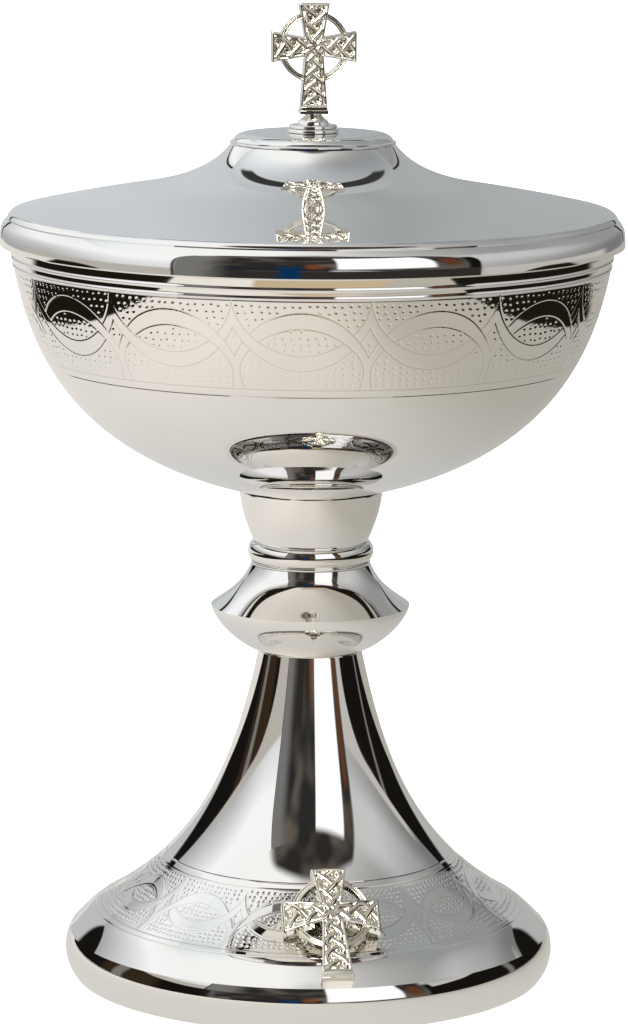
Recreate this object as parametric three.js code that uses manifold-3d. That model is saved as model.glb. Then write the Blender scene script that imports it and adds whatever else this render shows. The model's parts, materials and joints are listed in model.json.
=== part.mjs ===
import * as THREE from 'three';
import { mergeVertices } from 'three/addons/utils/BufferGeometryUtils.js';
import Module from 'manifold-3d';

// Ciborium: a lidded cup on a knopped stem and a trumpet foot, built up from spun, turned and cast pieces.
// Millimetres, Z up. The underside rests on Z = 0 and the cross on the foot faces -Y.

// Steps around the turned pieces
const largeSteps = 44;
const middleSteps = 32;
const smallSteps = 20;

// Clearances
const boreGap = 0.3; // between a pin and its bore, all round
const seatGap = 0.3; // between a piece and a curved or turned seat
const lidGap = 0.7; // between the lid's skirt and the cup's wall

// Foot
const footWall = 1.2;
const footBaseRadius = 56.2;
const footRimFlare = 1; // how much wider the foot is at its crease than at its base
const footRimHeight = 10.4;
const footShoulderInset = 6.2; // from the crease in to where the foot's convex turn ends
const footShoulderRise = 5.6;
const footNeckRadius = 12.3;
const footHeight = 78;
const baseRingHeight = 2.2;
const baseRingWidth = 3.6;

// Knop
const knopWall = 1.2;
const knopSeatRadius = 11.8;
const knopSeatHeight = 0.5;
const knopBaseRadius = 12.9;
const knopEdgeRadius = 23.6;
const knopLowerHeight = 11.1;
const knopUpperHeight = 9.9;
const knopTopRadius = 14.2;
const coreTubeRadius = 5.6;

// Bead ring over the knop
const beadRingRadius = 14.9;
const beadRingNeckRadius = 13.9;
const beadRingHeight = 5.8;

// Calyx that carries the bowl
const calyxWall = 1.2;
const calyxBaseRadius = 13.7;
const calyxRimRadius = 17;
const calyxHeight = 12.1;

// Bowl
const bowlWall = 1.2;
const bowlRimRadius = 71.4;
const bowlDepth = 61.3;
const bossRadius = 8;

// Tie rod through the stem
const rodRadius = 3;
const rodReach = 7.2; // length screwed into the boss
const rodTail = 1.5; // length left below the nut
const washerRadius = 8.2;
const washerThickness = 1.4;
const nutWidth = 10;
const nutHeight = 5;

// Lid
const lidWall = 1.2;
const lidRimGap = 0.7; // between the bowl's rim and the inside of the lid's rim
const lidLipInset = 1.2; // how far the lower lip turns in
const lidLipHeight = 0.5;
const lidRimHeight = 5.6;
const lidRimTaper = 1.1; // how much narrower the rim is at its crease
const lidOverhang = 2.9; // how far the lip hangs below the bowl's rim
const lidFlareHeight = 17.7; // from the crease to the foot of the raised plate
const lidStepRadius = 18.9;
const lidPlateRadius = 17.3;
const lidPlateHeight = 2;
const flangeThickness = 1.2;
const skirtDepth = 9.5;

// Pedestal under the finial
const pedestalBaseRadius = 6;
const pedestalBaseHeight = 1;
const pedestalStepRadius = 5.6;
const pedestalStepHeight = 0.9;
const pedestalDomeRadius = 3.7;
const pedestalDomeHeight = 2.5;
const pedestalTopRadius = 2;

// Finial cross
const crossArmEnd = 7.1; // width of an arm at its end
const crossArmRoot = 4.4; // width of an arm at the crossing
const crossUpperArm = 10.1;
const crossSideArm = 9.9;
const crossShaft = 13.9;
const crossShaftFoot = 6.3;
const crossThickness = 4;
const crossRingRadius = 8.3;
const crossRingWidth = 1.3;
const crossRingThickness = 2.6;
const plinthWidth = 6.6;
const plinthHeight = 1.7;
const plinthThickness = 5;

// Finial stud, washer and nut
const studRadius = 1.2;
const studReach = 4; // length inside the cross
const studTail = 0.8;
const studWasherRadius = 4.6;
const studWasherThickness = 0.8;
const studNutWidth = 5;
const studNutHeight = 2.2;

// Cross on the foot, a larger casting of the same pattern
const footCrossScale = 1.136;
const footCrossThickness = 2.8;
const footCrossBend = 2.1; // how far its side arms' ends are bent back round the foot
const footCrossInset = 0.3; // from the foot's crease in to its heel
const footCrossRise = 1.15; // from the foot's crease up to its heel
const footCrossTilt = 5.7; // degrees steeper than the foot behind it
const footCrossStand = 2.6; // height of its face over its heel
const pegRadius = 1.2;
const pegUpper = 5.5; // above and below the crossing
const pegLower = 8.5;
const pegNutRadius = 2.6;
const pegNutHeight = 1.6;
const pegTail = 0.6;

const wasm = await Module();
wasm.setup();

// A point of a profile: distance from the axis, height
const at = (radius, height) => new THREE.Vector2(radius, height);

// A smooth curve between two points. It leaves and arrives at angles measured from the radius, and each pull
// says how long it keeps to its angle, as a share of the straight distance.
function sweep(start, startAngle, startPull, end, endAngle, endPull, steps) {
  const a = THREE.MathUtils.degToRad(startAngle);
  const b = THREE.MathUtils.degToRad(endAngle);
  const reach = start.distanceTo(end);
  const leave = at(start.x + startPull * reach * Math.cos(a), start.y + startPull * reach * Math.sin(a));
  const arrive = at(end.x - endPull * reach * Math.cos(b), end.y - endPull * reach * Math.sin(b));
  return new THREE.CubicBezierCurve(start, leave, arrive, end).getPoints(steps);
}

// The same line moved to its inner side by the wall
function inset(line, wall) {
  return line.map((point, i) => {
    const before = line[Math.max(i - 1, 0)];
    const after = line[Math.min(i + 1, line.length - 1)];
    const along = after.clone().sub(before).normalize();
    return at(point.x - along.y * wall, point.y + along.x * wall);
  });
}

// Radius of a rising line at a height
function radiusAt(line, height) {
  for (let i = 1; i < line.length; i += 1) {
    const low = line[i - 1];
    const high = line[i];
    if (height >= low.y && height <= high.y) {
      return THREE.MathUtils.mapLinear(height, low.y, high.y, low.x, high.x);
    }
  }
  return height < line[0].y ? line[0].x : line[line.length - 1].x;
}

// The part of a rising line between two heights, with its ends on them
function between(line, low, high) {
  const inside = line.filter((point) => point.y > low + 0.05 && point.y < high - 0.05);
  return [at(radiusAt(line, low), low), ...inside, at(radiusAt(line, high), high)];
}

// The point of a line at a straight distance from its start
function pointAtReach(line, reach) {
  const start = line[0];
  const beyond = line.findIndex((point) => point.distanceTo(start) >= reach);
  if (beyond < 1) return line[line.length - 1].clone();
  const before = line[beyond - 1];
  const after = line[beyond];
  const share = THREE.MathUtils.inverseLerp(before.distanceTo(start), after.distanceTo(start), reach);
  return before.clone().lerp(after, share);
}

// A turned solid from a closed profile that runs up the outside and down the inside
function turned(profile, steps) {
  const geometry = new THREE.LatheGeometry([...profile, profile[0].clone()], steps);
  geometry.rotateX(Math.PI / 2);
  return geometry;
}

function ring(inner, outer, low, high, steps) {
  return turned([at(inner, low), at(outer, low), at(outer, high), at(inner, high)], steps);
}

// A hexagonal nut with a round bore, standing on a height
function hexNut(width, bore, low, height) {
  const shape = new THREE.Shape();
  const corner = width / 2 / Math.cos(Math.PI / 6);
  for (let i = 0; i < 6; i += 1) {
    const turn = (i + 0.5) * Math.PI / 3;
    const x = corner * Math.cos(turn);
    const y = corner * Math.sin(turn);
    if (i === 0) shape.moveTo(x, y);
    else shape.lineTo(x, y);
  }
  shape.closePath();
  shape.holes.push(new THREE.Path().absarc(0, 0, bore, 0, 2 * Math.PI, true));
  const geometry = new THREE.ExtrudeGeometry(shape, { depth: height, bevelEnabled: false, curveSegments: 10 });
  geometry.translate(0, 0, low);
  return geometry;
}

function toSolid(source) {
  const geometry = source.clone();
  geometry.deleteAttribute('normal');
  geometry.deleteAttribute('uv');
  const welded = mergeVertices(geometry, 1e-5);
  const vertProperties = new Float32Array(welded.attributes.position.array);
  const triVerts = new Uint32Array(welded.index.array);
  return new wasm.Manifold(new wasm.Mesh({ numProp: 3, vertProperties, triVerts }));
}

function fromSolid(solid) {
  const mesh = solid.getMesh();
  const geometry = new THREE.BufferGeometry();
  geometry.setAttribute('position', new THREE.BufferAttribute(new Float32Array(mesh.vertProperties), 3));
  geometry.setIndex(new THREE.BufferAttribute(new Uint32Array(mesh.triVerts), 1));
  const faceted = geometry.toNonIndexed();
  faceted.computeVertexNormals();
  return faceted;
}

const group = new THREE.Group();

function add(name, geometry, color, roughness) {
  const material = new THREE.MeshStandardMaterial({ color, roughness, metalness: 1 });
  const mesh = new THREE.Mesh(geometry, material);
  mesh.name = name;
  group.add(mesh);
  return mesh;
}

const plate = 0xdcd8d0;
const cast = 0xcfc8b4;
const brass = 0xb89a5a;
const steel = 0x9a9c9e;

const rodBore = rodRadius + boreGap;
const studBore = studRadius + boreGap;

// Foot
const footCrease = at(footBaseRadius + footRimFlare, footRimHeight);
const footRim = sweep(at(footBaseRadius, 0), 50, 0.36, footCrease, 120, 0.36, 5);
const footShoulder = at(footCrease.x - footShoulderInset, footRimHeight + footShoulderRise);
const footTurn = sweep(footCrease, 112, 0.25, footShoulder, 150, 0.4, 3);
const footFlare = sweep(footShoulder, 150, 0.417, at(footNeckRadius, footHeight), 102, 0.356, 8);
const footCone = [...footTurn, ...footFlare.slice(1)];
const footOuter = [...footRim, ...footCone.slice(1)];
const footCeiling = footHeight - footWall;
const footInner = between(inset(footOuter, footWall), 0, footCeiling);
const footProfile = [
  ...footOuter,
  at(rodBore, footHeight),
  at(rodBore, footCeiling),
  ...footInner.reverse(),
];
footInner.reverse();
let footShell = toSolid(turned(footProfile, largeSteps));

const baseRingSeat = radiusAt(footInner, 0) - seatGap;
add(
  'foot_base_ring',
  ring(baseRingSeat - baseRingWidth, baseRingSeat, 0, baseRingHeight, largeSteps),
  brass,
  0.4,
);

// Knop, of two spun halves that meet at the sharp edge
const knopBottom = footHeight;
const knopEdgeHeight = knopBottom + knopLowerHeight;
const knopTop = knopEdgeHeight + knopUpperHeight;
const knopSeat = at(knopBaseRadius, knopBottom + knopSeatHeight);
const knopEdge = at(knopEdgeRadius, knopEdgeHeight);
const knopUnder = sweep(knopSeat, 18, 0.31, knopEdge, 80, 0.26, 5);
const knopFloor = knopSeat.y + knopWall;
const knopUnderInner = between(inset(knopUnder, knopWall), knopFloor, knopEdgeHeight);
add(
  'knop_lower',
  turned([
    at(rodBore, knopBottom),
    at(knopSeatRadius, knopBottom),
    at(knopSeatRadius, knopSeat.y),
    ...knopUnder,
    ...knopUnderInner.reverse(),
    at(rodBore, knopFloor),
  ], middleSteps),
  plate,
  0.1,
);

const knopFlare = sweep(knopEdge, 146, 0.4, at(knopTopRadius, knopTop), 112, 0.38, 5);
const knopRoof = knopTop - knopWall;
const knopFlareInner = between(inset(knopFlare, knopWall), knopEdgeHeight, knopRoof);
add(
  'knop_upper',
  turned([
    ...knopFlare,
    at(rodBore, knopTop),
    at(rodBore, knopRoof),
    ...knopFlareInner.reverse(),
  ], middleSteps),
  plate,
  0.1,
);
add('knop_core_tube', ring(rodBore, coreTubeRadius, knopFloor, knopRoof, smallSteps), brass, 0.4);

// Bead ring
const beadRingTop = knopTop + beadRingHeight;
const beadRingLow = at(beadRingNeckRadius, knopTop);
const beadRingHigh = at(beadRingNeckRadius, beadRingTop);
const beadPull = (beadRingRadius - beadRingNeckRadius) * 4 / 3 / beadRingHeight / Math.cos(Math.PI / 4);
const beadSide = sweep(beadRingLow, 45, beadPull, beadRingHigh, 135, beadPull, 5);
add('bead_ring', turned([at(rodBore, knopTop), ...beadSide, at(rodBore, beadRingTop)], middleSteps), plate, 0.1);

// Calyx
const calyxTop = beadRingTop + calyxHeight;
const calyxSide = sweep(at(calyxBaseRadius, beadRingTop), 67, 0.36, at(calyxRimRadius, calyxTop), 90, 0.39, 4);
const calyxFloor = beadRingTop + calyxWall;
const calyxInner = between(inset(calyxSide, calyxWall), calyxFloor, calyxTop);
add(
  'calyx_cup',
  turned([
    at(rodBore, beadRingTop),
    ...calyxSide,
    ...calyxInner.reverse(),
    at(rodBore, calyxFloor),
  ], middleSteps),
  plate,
  0.1,
);

// Bowl, seated on the calyx, with its rim hidden by the lid
const bowlRim = calyxTop + bowlDepth;
const bowlSide = sweep(at(calyxRimRadius, calyxTop), 14, 0.561, at(bowlRimRadius, bowlRim), 82, 0.281, 10);
const bowlFloor = calyxTop + bowlWall;
const bowlInner = between(inset(bowlSide, bowlWall), bowlFloor, bowlRim);
add(
  'bowl',
  turned([at(0, calyxTop), ...bowlSide, ...bowlInner.reverse(), at(0, bowlFloor)], largeSteps),
  plate,
  0.1,
);
bowlInner.reverse();

// Boss under the bowl, with a blind bore for the tie rod
const rodTop = calyxFloor + rodReach;
add(
  'bowl_boss',
  turned([
    at(rodBore, calyxFloor),
    at(bossRadius, calyxFloor),
    at(bossRadius, calyxTop),
    at(0, calyxTop),
    at(0, rodTop + boreGap),
    at(rodBore, rodTop + boreGap),
  ], smallSteps),
  brass,
  0.4,
);

// Tie rod with its washer and nut under the foot's ceiling
const washerLow = footCeiling - washerThickness;
const nutLow = washerLow - nutHeight;
const rodBottom = nutLow - rodTail;
add(
  'tie_rod',
  turned([at(0, rodBottom), at(rodRadius, rodBottom), at(rodRadius, rodTop), at(0, rodTop)], smallSteps),
  steel,
  0.4,
);
add('tie_rod_washer', ring(rodBore, washerRadius, washerLow, footCeiling, smallSteps), steel, 0.4);
add('tie_rod_nut', hexNut(nutWidth, rodBore, nutLow, nutHeight), steel, 0.4);

// Lid
const lidRimRadius = bowlRimRadius + lidRimGap + lidWall;
const lidLip = bowlRim - lidOverhang;
const lidRimLow = at(lidRimRadius, lidLip + lidLipHeight);
const lidCrease = at(lidRimRadius - lidRimTaper, lidRimLow.y + lidRimHeight);
const lidRim = [
  at(lidRimRadius - lidLipInset, lidLip),
  ...sweep(lidRimLow, 82, 0.34, lidCrease, 120, 0.34, 4),
];
const lidStep = at(lidStepRadius, lidCrease.y + lidFlareHeight);
const lidFlare = sweep(lidCrease, 149, 0.27, lidStep, 118, 0.27, 9);
const lidTop = lidStep.y + lidPlateHeight;
const lidPlate = sweep(lidStep, 70, 0.4, at(lidPlateRadius, lidTop), 165, 0.5, 3);
const lidCeiling = lidTop - lidWall;
const lidOuter = [...lidRim, ...lidFlare.slice(1), ...lidPlate.slice(1)];
const lidInner = between(inset([...lidRim.slice(1), ...lidFlare.slice(1)], lidWall), lidLip, lidStep.y);
const lidPlateInner = at(lidPlateRadius - lidWall, lidCeiling);
add(
  'lid_shell',
  turned([
    ...lidOuter,
    at(studBore, lidTop),
    at(studBore, lidCeiling),
    lidPlateInner,
    ...lidInner.slice(0, -1).reverse(),
  ], largeSteps),
  plate,
  0.1,
);

// Flange inside the lid: its flat rests on the bowl's rim and its skirt drops into the bowl
const skirtBottom = bowlRim - skirtDepth;
const skirtRadius = radiusAt(bowlInner, skirtBottom) - lidGap;
const flangeTop = bowlRim + flangeThickness;
const flangeRadius = Math.min(radiusAt(lidInner, bowlRim), radiusAt(lidInner, flangeTop)) - seatGap;
add(
  'lid_flange',
  turned([
    at(skirtRadius - flangeThickness, skirtBottom),
    at(skirtRadius, skirtBottom),
    at(skirtRadius, bowlRim),
    at(flangeRadius, bowlRim),
    at(flangeRadius, flangeTop),
    at(skirtRadius - flangeThickness, flangeTop),
  ], largeSteps),
  plate,
  0.15,
);

// Pedestal
const pedestalStep = lidTop + pedestalBaseHeight;
const pedestalDome = pedestalStep + pedestalStepHeight;
const pedestalTop = pedestalDome + pedestalDomeHeight;
const domeSide = sweep(at(pedestalDomeRadius, pedestalDome), 95, 0.4, at(pedestalTopRadius, pedestalTop), 150, 0.3, 4);
add(
  'finial_pedestal',
  turned([
    at(studBore, lidTop),
    at(pedestalBaseRadius, lidTop),
    at(pedestalBaseRadius, pedestalStep),
    at(pedestalStepRadius, pedestalStep),
    at(pedestalStepRadius, pedestalDome),
    ...domeSide,
    at(studBore, pedestalTop),
  ], smallSteps),
  plate,
  0.1,
);

// A ringed cross that stands up along Y on Y = 0, its thickness centred on Z = 0
function ringedCross() {
  const end = crossArmEnd / 2;
  const root = crossArmRoot / 2;
  const foot = crossShaftFoot / 2;
  const centre = plinthHeight + crossShaft;
  const outline = new THREE.Shape();
  const shaftEnd = crossShaft + plinthHeight / 2;
  outline.moveTo(-foot, -shaftEnd);
  outline.lineTo(foot, -shaftEnd);
  outline.lineTo(root, -root);
  outline.lineTo(crossSideArm, -end);
  outline.lineTo(crossSideArm, end);
  outline.lineTo(root, root);
  outline.lineTo(end, crossUpperArm);
  outline.lineTo(-end, crossUpperArm);
  outline.lineTo(-root, root);
  outline.lineTo(-crossSideArm, end);
  outline.lineTo(-crossSideArm, -end);
  outline.lineTo(-root, -root);
  outline.closePath();
  const arms = new THREE.ExtrudeGeometry(outline, { depth: crossThickness, bevelEnabled: false });
  arms.translate(0, centre, -crossThickness / 2);
  const hoopShape = new THREE.Shape().absarc(0, 0, crossRingRadius, 0, 2 * Math.PI, false);
  hoopShape.holes.push(new THREE.Path().absarc(0, 0, crossRingRadius - crossRingWidth, 0, 2 * Math.PI, true));
  const hoop = new THREE.ExtrudeGeometry(hoopShape, {
    depth: crossRingThickness,
    bevelEnabled: false,
    curveSegments: 16,
  });
  hoop.translate(0, centre, -crossRingThickness / 2);
  const plinth = new THREE.BoxGeometry(plinthWidth, plinthHeight, plinthThickness);
  plinth.translate(0, plinthHeight / 2, 0);
  return toSolid(arms).add(toSolid(hoop)).add(toSolid(plinth));
}

// Finial
const studTop = pedestalTop + studReach;
const studBoreTool = new THREE.CylinderGeometry(studBore, studBore, studReach + boreGap, 16);
studBoreTool.translate(0, (studReach + boreGap) / 2, 0);
const finial = fromSolid(ringedCross().subtract(toSolid(studBoreTool)));
finial.rotateX(Math.PI / 2);
finial.translate(0, 0, pedestalTop);
add('finial_cross', finial, cast, 0.25);

const studWasherLow = lidCeiling - studWasherThickness;
const studNutLow = studWasherLow - studNutHeight;
const studBottom = studNutLow - studTail;
add(
  'finial_stud',
  turned([at(0, studBottom), at(studRadius, studBottom), at(studRadius, studTop), at(0, studTop)], 16),
  steel,
  0.4,
);
add('finial_washer', ring(studBore, studWasherRadius, studWasherLow, lidCeiling, smallSteps), steel, 0.4);
add('finial_nut', hexNut(studNutWidth, studBore, studNutLow, studNutHeight), steel, 0.4);

// Where a line from a point, going down into the foot, meets a profile: the length along it
function reachTo(line, from, into) {
  let longest = 0;
  for (let i = 1; i < line.length; i += 1) {
    const a = line[i - 1];
    const edge = line[i].clone().sub(a);
    const gap = a.clone().sub(from);
    const cross = into.x * edge.y - into.y * edge.x;
    const length = (gap.x * edge.y - gap.y * edge.x) / cross;
    const share = (gap.x * into.y - gap.y * into.x) / cross;
    if (share >= 0 && share <= 1) longest = Math.max(longest, length);
  }
  return longest;
}

// Cross on the foot: it stands on its heel over the crease and leans back a little less than the foot does
const footCrossLength = (plinthHeight + crossShaft + crossUpperArm) * footCrossScale;
const heel = at(footCrease.x - footCrossInset, footCrease.y + footCrossRise);
const chord = pointAtReach(footCone, footCrossLength).sub(footCrease).normalize();
chord.rotateAround(at(0, 0), -THREE.MathUtils.degToRad(footCrossTilt));
const outward = at(chord.y, -chord.x);
const lean = new THREE.Matrix4().makeBasis(
  new THREE.Vector3(1, 0, 0),
  new THREE.Vector3(0, -chord.x, chord.y),
  new THREE.Vector3(0, -outward.x, outward.y),
);
lean.setPosition(0, -heel.x, heel.y);

function leaned(source) {
  const geometry = source.clone();
  geometry.applyMatrix4(lean);
  return geometry;
}

const footCrossSolid = fromSolid(ringedCross());
footCrossSolid.scale(footCrossScale, footCrossScale, footCrossThickness / crossThickness);
footCrossSolid.translate(0, 0, footCrossStand - footCrossThickness / 2);
const crossPoints = footCrossSolid.getAttribute('position');
for (let i = 0; i < crossPoints.count; i += 1) {
  const side = crossPoints.getX(i) / (crossSideArm * footCrossScale);
  crossPoints.setZ(i, crossPoints.getZ(i) - footCrossBend * side * side);
}
const footAllowance = inset(footOuter, -seatGap);
const footMass = toSolid(turned([at(0, -1), at(footBaseRadius, -1), ...footAllowance, at(0, footHeight)], largeSteps));
let footCross = toSolid(leaned(footCrossSolid)).subtract(footMass);

const crossingUp = (plinthHeight + crossShaft) * footCrossScale;
const pegs = [
  { name: 'foot_cross_nut_upper', up: crossingUp + pegUpper },
  { name: 'foot_cross_nut_lower', up: crossingUp - pegLower },
];
const into = outward.clone().negate();
const pegNuts = pegs.map(({ name, up }) => {
  const lengths = [-pegNutRadius, 0, pegNutRadius].map((side) => {
    const from = heel.clone().addScaledVector(chord, up + side);
    return reachTo(footInner, from, into);
  });
  const nutFace = Math.max(...lengths) + seatGap;
  const pegEnd = nutFace + pegNutHeight + pegTail;
  const peg = new THREE.CylinderGeometry(pegRadius, pegRadius, pegEnd + footCrossStand / 2, 16);
  peg.rotateX(Math.PI / 2);
  peg.translate(0, up, (footCrossStand / 2 - pegEnd) / 2);
  const hole = new THREE.CylinderGeometry(pegRadius + boreGap, pegRadius + boreGap, pegEnd + footCrossStand, 16);
  hole.rotateX(Math.PI / 2);
  hole.translate(0, up, (footCrossStand - pegEnd) / 2);
  footCross = footCross.add(toSolid(leaned(peg)));
  footShell = footShell.subtract(toSolid(leaned(hole)));
  const nutShape = new THREE.Shape().absarc(0, 0, pegNutRadius, 0, 2 * Math.PI, false);
  nutShape.holes.push(new THREE.Path().absarc(0, 0, pegRadius + boreGap, 0, 2 * Math.PI, true));
  const nut = new THREE.ExtrudeGeometry(nutShape, { depth: pegNutHeight, bevelEnabled: false, curveSegments: 8 });
  nut.translate(0, up, -nutFace - pegNutHeight);
  return { name, geometry: leaned(nut) };
});

add('foot_shell', fromSolid(footShell), plate, 0.1);
add('foot_cross', fromSolid(footCross), cast, 0.25);
pegNuts.forEach(({ name, geometry }) => add(name, geometry, steel, 0.4));

export default group;
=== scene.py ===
"""Looks of a lidded ciborium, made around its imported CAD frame.

The file is laid out as an add-on. Sizes, ornament, finishes and the studio are property groups,
each piece or group of like pieces has an operator, and a panel in the 3D view's sidebar lists them.
Run as a script, it makes every piece once. Lengths are in metres, and the foot's cross faces -Y.
"""

import json
import math
import random

import bmesh
import bpy
import numpy as np
from bpy.props import FloatProperty, FloatVectorProperty, IntProperty, PointerProperty
from mathutils import Matrix, Vector


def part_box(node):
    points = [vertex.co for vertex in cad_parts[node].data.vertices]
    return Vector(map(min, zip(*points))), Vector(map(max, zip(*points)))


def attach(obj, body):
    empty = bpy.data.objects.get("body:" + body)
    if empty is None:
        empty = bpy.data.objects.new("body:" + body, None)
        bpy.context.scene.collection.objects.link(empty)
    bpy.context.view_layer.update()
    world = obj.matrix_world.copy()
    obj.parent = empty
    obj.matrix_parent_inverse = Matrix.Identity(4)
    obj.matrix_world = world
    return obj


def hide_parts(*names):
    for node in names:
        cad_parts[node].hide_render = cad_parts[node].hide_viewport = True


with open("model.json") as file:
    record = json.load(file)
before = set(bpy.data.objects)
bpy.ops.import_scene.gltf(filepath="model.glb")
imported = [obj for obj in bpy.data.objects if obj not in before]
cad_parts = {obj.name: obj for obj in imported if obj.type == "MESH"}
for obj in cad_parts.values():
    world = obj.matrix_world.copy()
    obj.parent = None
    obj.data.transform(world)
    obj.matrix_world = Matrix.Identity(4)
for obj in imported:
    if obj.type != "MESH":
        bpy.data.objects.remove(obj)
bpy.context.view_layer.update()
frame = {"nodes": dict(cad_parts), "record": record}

bl_info = {
    "name": "Ciborium",
    "version": (1, 0, 0),
    "blender": (4, 5, 0),
    "location": "3D View > Sidebar > Ciborium",
    "description": "Makes the spun, engraved and cast pieces of a lidded ciborium",
    "category": "Add Mesh",
}

MM = 0.001
TURN = 2 * math.pi
PICTURE_LONG_SIDE = 1024
SENSOR = 36
SEAT_GAP = 0.05 * MM
WELD = 0.0001 * MM
SAME_PLACE = 1e-9
BLACK, WHITE = (0, 0, 0, 1), (1, 1, 1, 1)


def length(name, description, millimetres):
    """A length property, given in millimetres and kept in metres."""
    return FloatProperty(
        name=name, description=description, default=millimetres * MM, unit="LENGTH", precision=5
    )


def degrees(name, description, value):
    """An angle property, given in degrees and kept in radians."""
    return FloatProperty(
        name=name, description=description, default=math.radians(value), subtype="ANGLE"
    )


def number(name, description, value):
    """A plain number."""
    return FloatProperty(name=name, description=description, default=value)


def count(name, description, value):
    """How many times a motif runs round its band."""
    return IntProperty(name=name, description=description, default=value, min=4)


def share(name, description, value):
    """A share of one."""
    return FloatProperty(
        name=name, description=description, default=value, min=0, subtype="FACTOR"
    )


def colour(name, description, value):
    """A linear colour."""
    return FloatVectorProperty(
        name=name, description=description, default=value, size=3, min=0, soft_max=1,
        subtype="COLOR",
    )


class CiboriumSizes(bpy.types.PropertyGroup):
    """Sizes of the turned pieces. They are the CAD frame's, but for the lid's fine edges."""

    wall: length("Wall", "Thickness of the spun metal", 1.2)
    foot_base_radius: length("Foot base radius", "Outer radius on the table", 56.2)
    foot_crease_radius: length("Foot crease radius", "Radius of the widest line", 57.2)
    foot_crease_height: length("Foot crease height", "Height of the widest line", 10.4)
    foot_shoulder_radius: length("Foot shoulder radius", "End of the convex turn", 51)
    foot_shoulder_height: length("Foot shoulder height", "End of the convex turn", 16)
    foot_neck_radius: length("Foot neck radius", "Radius at the top of the foot", 12.3)
    foot_height: length("Foot height", "Top of the trumpet foot", 78)
    knop_seat_radius: length("Knop seat radius", "Disc the knop stands on", 11.8)
    knop_base_radius: length("Knop base radius", "Start of the knop's underside", 12.9)
    knop_seat_height: length("Knop seat height", "Thickness of the knop's seat", 0.5)
    knop_edge_radius: length("Knop edge radius", "Radius of the sharp edge", 23.6)
    knop_edge_height: length("Knop edge height", "Height of the sharp edge", 89.1)
    knop_top_radius: length("Knop top radius", "Radius under the bead ring", 14.2)
    knop_top: length("Knop top", "Height of the knop's top", 99)
    ring_radius: length("Bead ring radius", "Widest radius of the bead ring", 14.9)
    ring_neck_radius: length("Bead ring neck", "Radius where the ring ends", 13.9)
    ring_top: length("Bead ring top", "Height of the bead ring's top", 104.8)
    calyx_base_radius: length("Calyx base radius", "Radius on the bead ring", 13.7)
    calyx_rim_radius: length("Calyx rim radius", "Radius under the bowl", 17)
    calyx_top: length("Calyx top", "Height of the bowl's seat", 116.9)
    stem_bore: length("Stem bore", "Bore for the tie rod", 3.3)
    bowl_rim_radius: length("Bowl rim radius", "Radius of the bowl's rim", 71.4)
    bowl_rim: length("Bowl rim", "Height of the bowl's rim", 178.2)
    lid_lip: length("Lid lip", "Height of the lid's lower lip", 174.8)
    lid_lip_inset: length("Lid lip inset", "How far the lip turns in", 1.2)
    lid_rim_radius: length("Lid rim radius", "Radius at the foot of the rim", 73.3)
    lid_rim_low: length("Lid rim foot", "Height where the rim begins", 175.3)
    lid_turn_radius: length("Lid turn radius", "Top of the rim's side", 72.5)
    lid_turn_height: length("Lid turn height", "Top of the rim's side", 180.1)
    lid_crease_radius: length("Lid crease radius", "End of the rim's turn", 71.45)
    lid_crease_height: length("Lid crease height", "End of the rim's turn", 181.3)
    lid_crease_step: length("Lid crease step", "Small step up to the flare", 0.32)
    lid_edge_radius: length("Lid edge radius", "End of the rolled edge", 70.2)
    lid_edge_height: length("Lid edge height", "End of the rolled edge", 182.78)
    lid_slope_radius: length("Lid slope radius", "Where the lid is nearest to flat", 48)
    lid_slope_height: length("Lid slope height", "Where the lid is nearest to flat", 187.12)
    lid_step_radius: length("Lid step radius", "Foot of the raised plate", 18.9)
    lid_step_height: length("Lid step height", "Foot of the raised plate", 199.1)
    lid_plate_radius: length("Lid plate radius", "Flat top of the plate", 15.6)
    lid_top: length("Lid top", "Height of the plate", 201.1)
    stud_bore: length("Stud bore", "Bore for the finial's stud", 1.5)
    skirt_radius: length("Skirt radius", "Outer radius of the lid's skirt", 67.84)
    skirt_bottom: length("Skirt bottom", "Height of the skirt's lower edge", 168.7)
    flange_radius: length("Flange radius", "Outer radius of the flat flange", 71.47)
    pedestal_radius: length("Pedestal radius", "Lower ring of the pedestal", 6)
    pedestal_step_radius: length("Pedestal step", "Upper ring of the pedestal", 5.6)
    pedestal_dome_radius: length("Dome radius", "Foot of the small dome", 3.7)
    pedestal_neck_radius: length("Dome neck", "Top of the small dome", 2)
    pedestal_top: length("Pedestal top", "Height of the finial's seat", 205.5)


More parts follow.
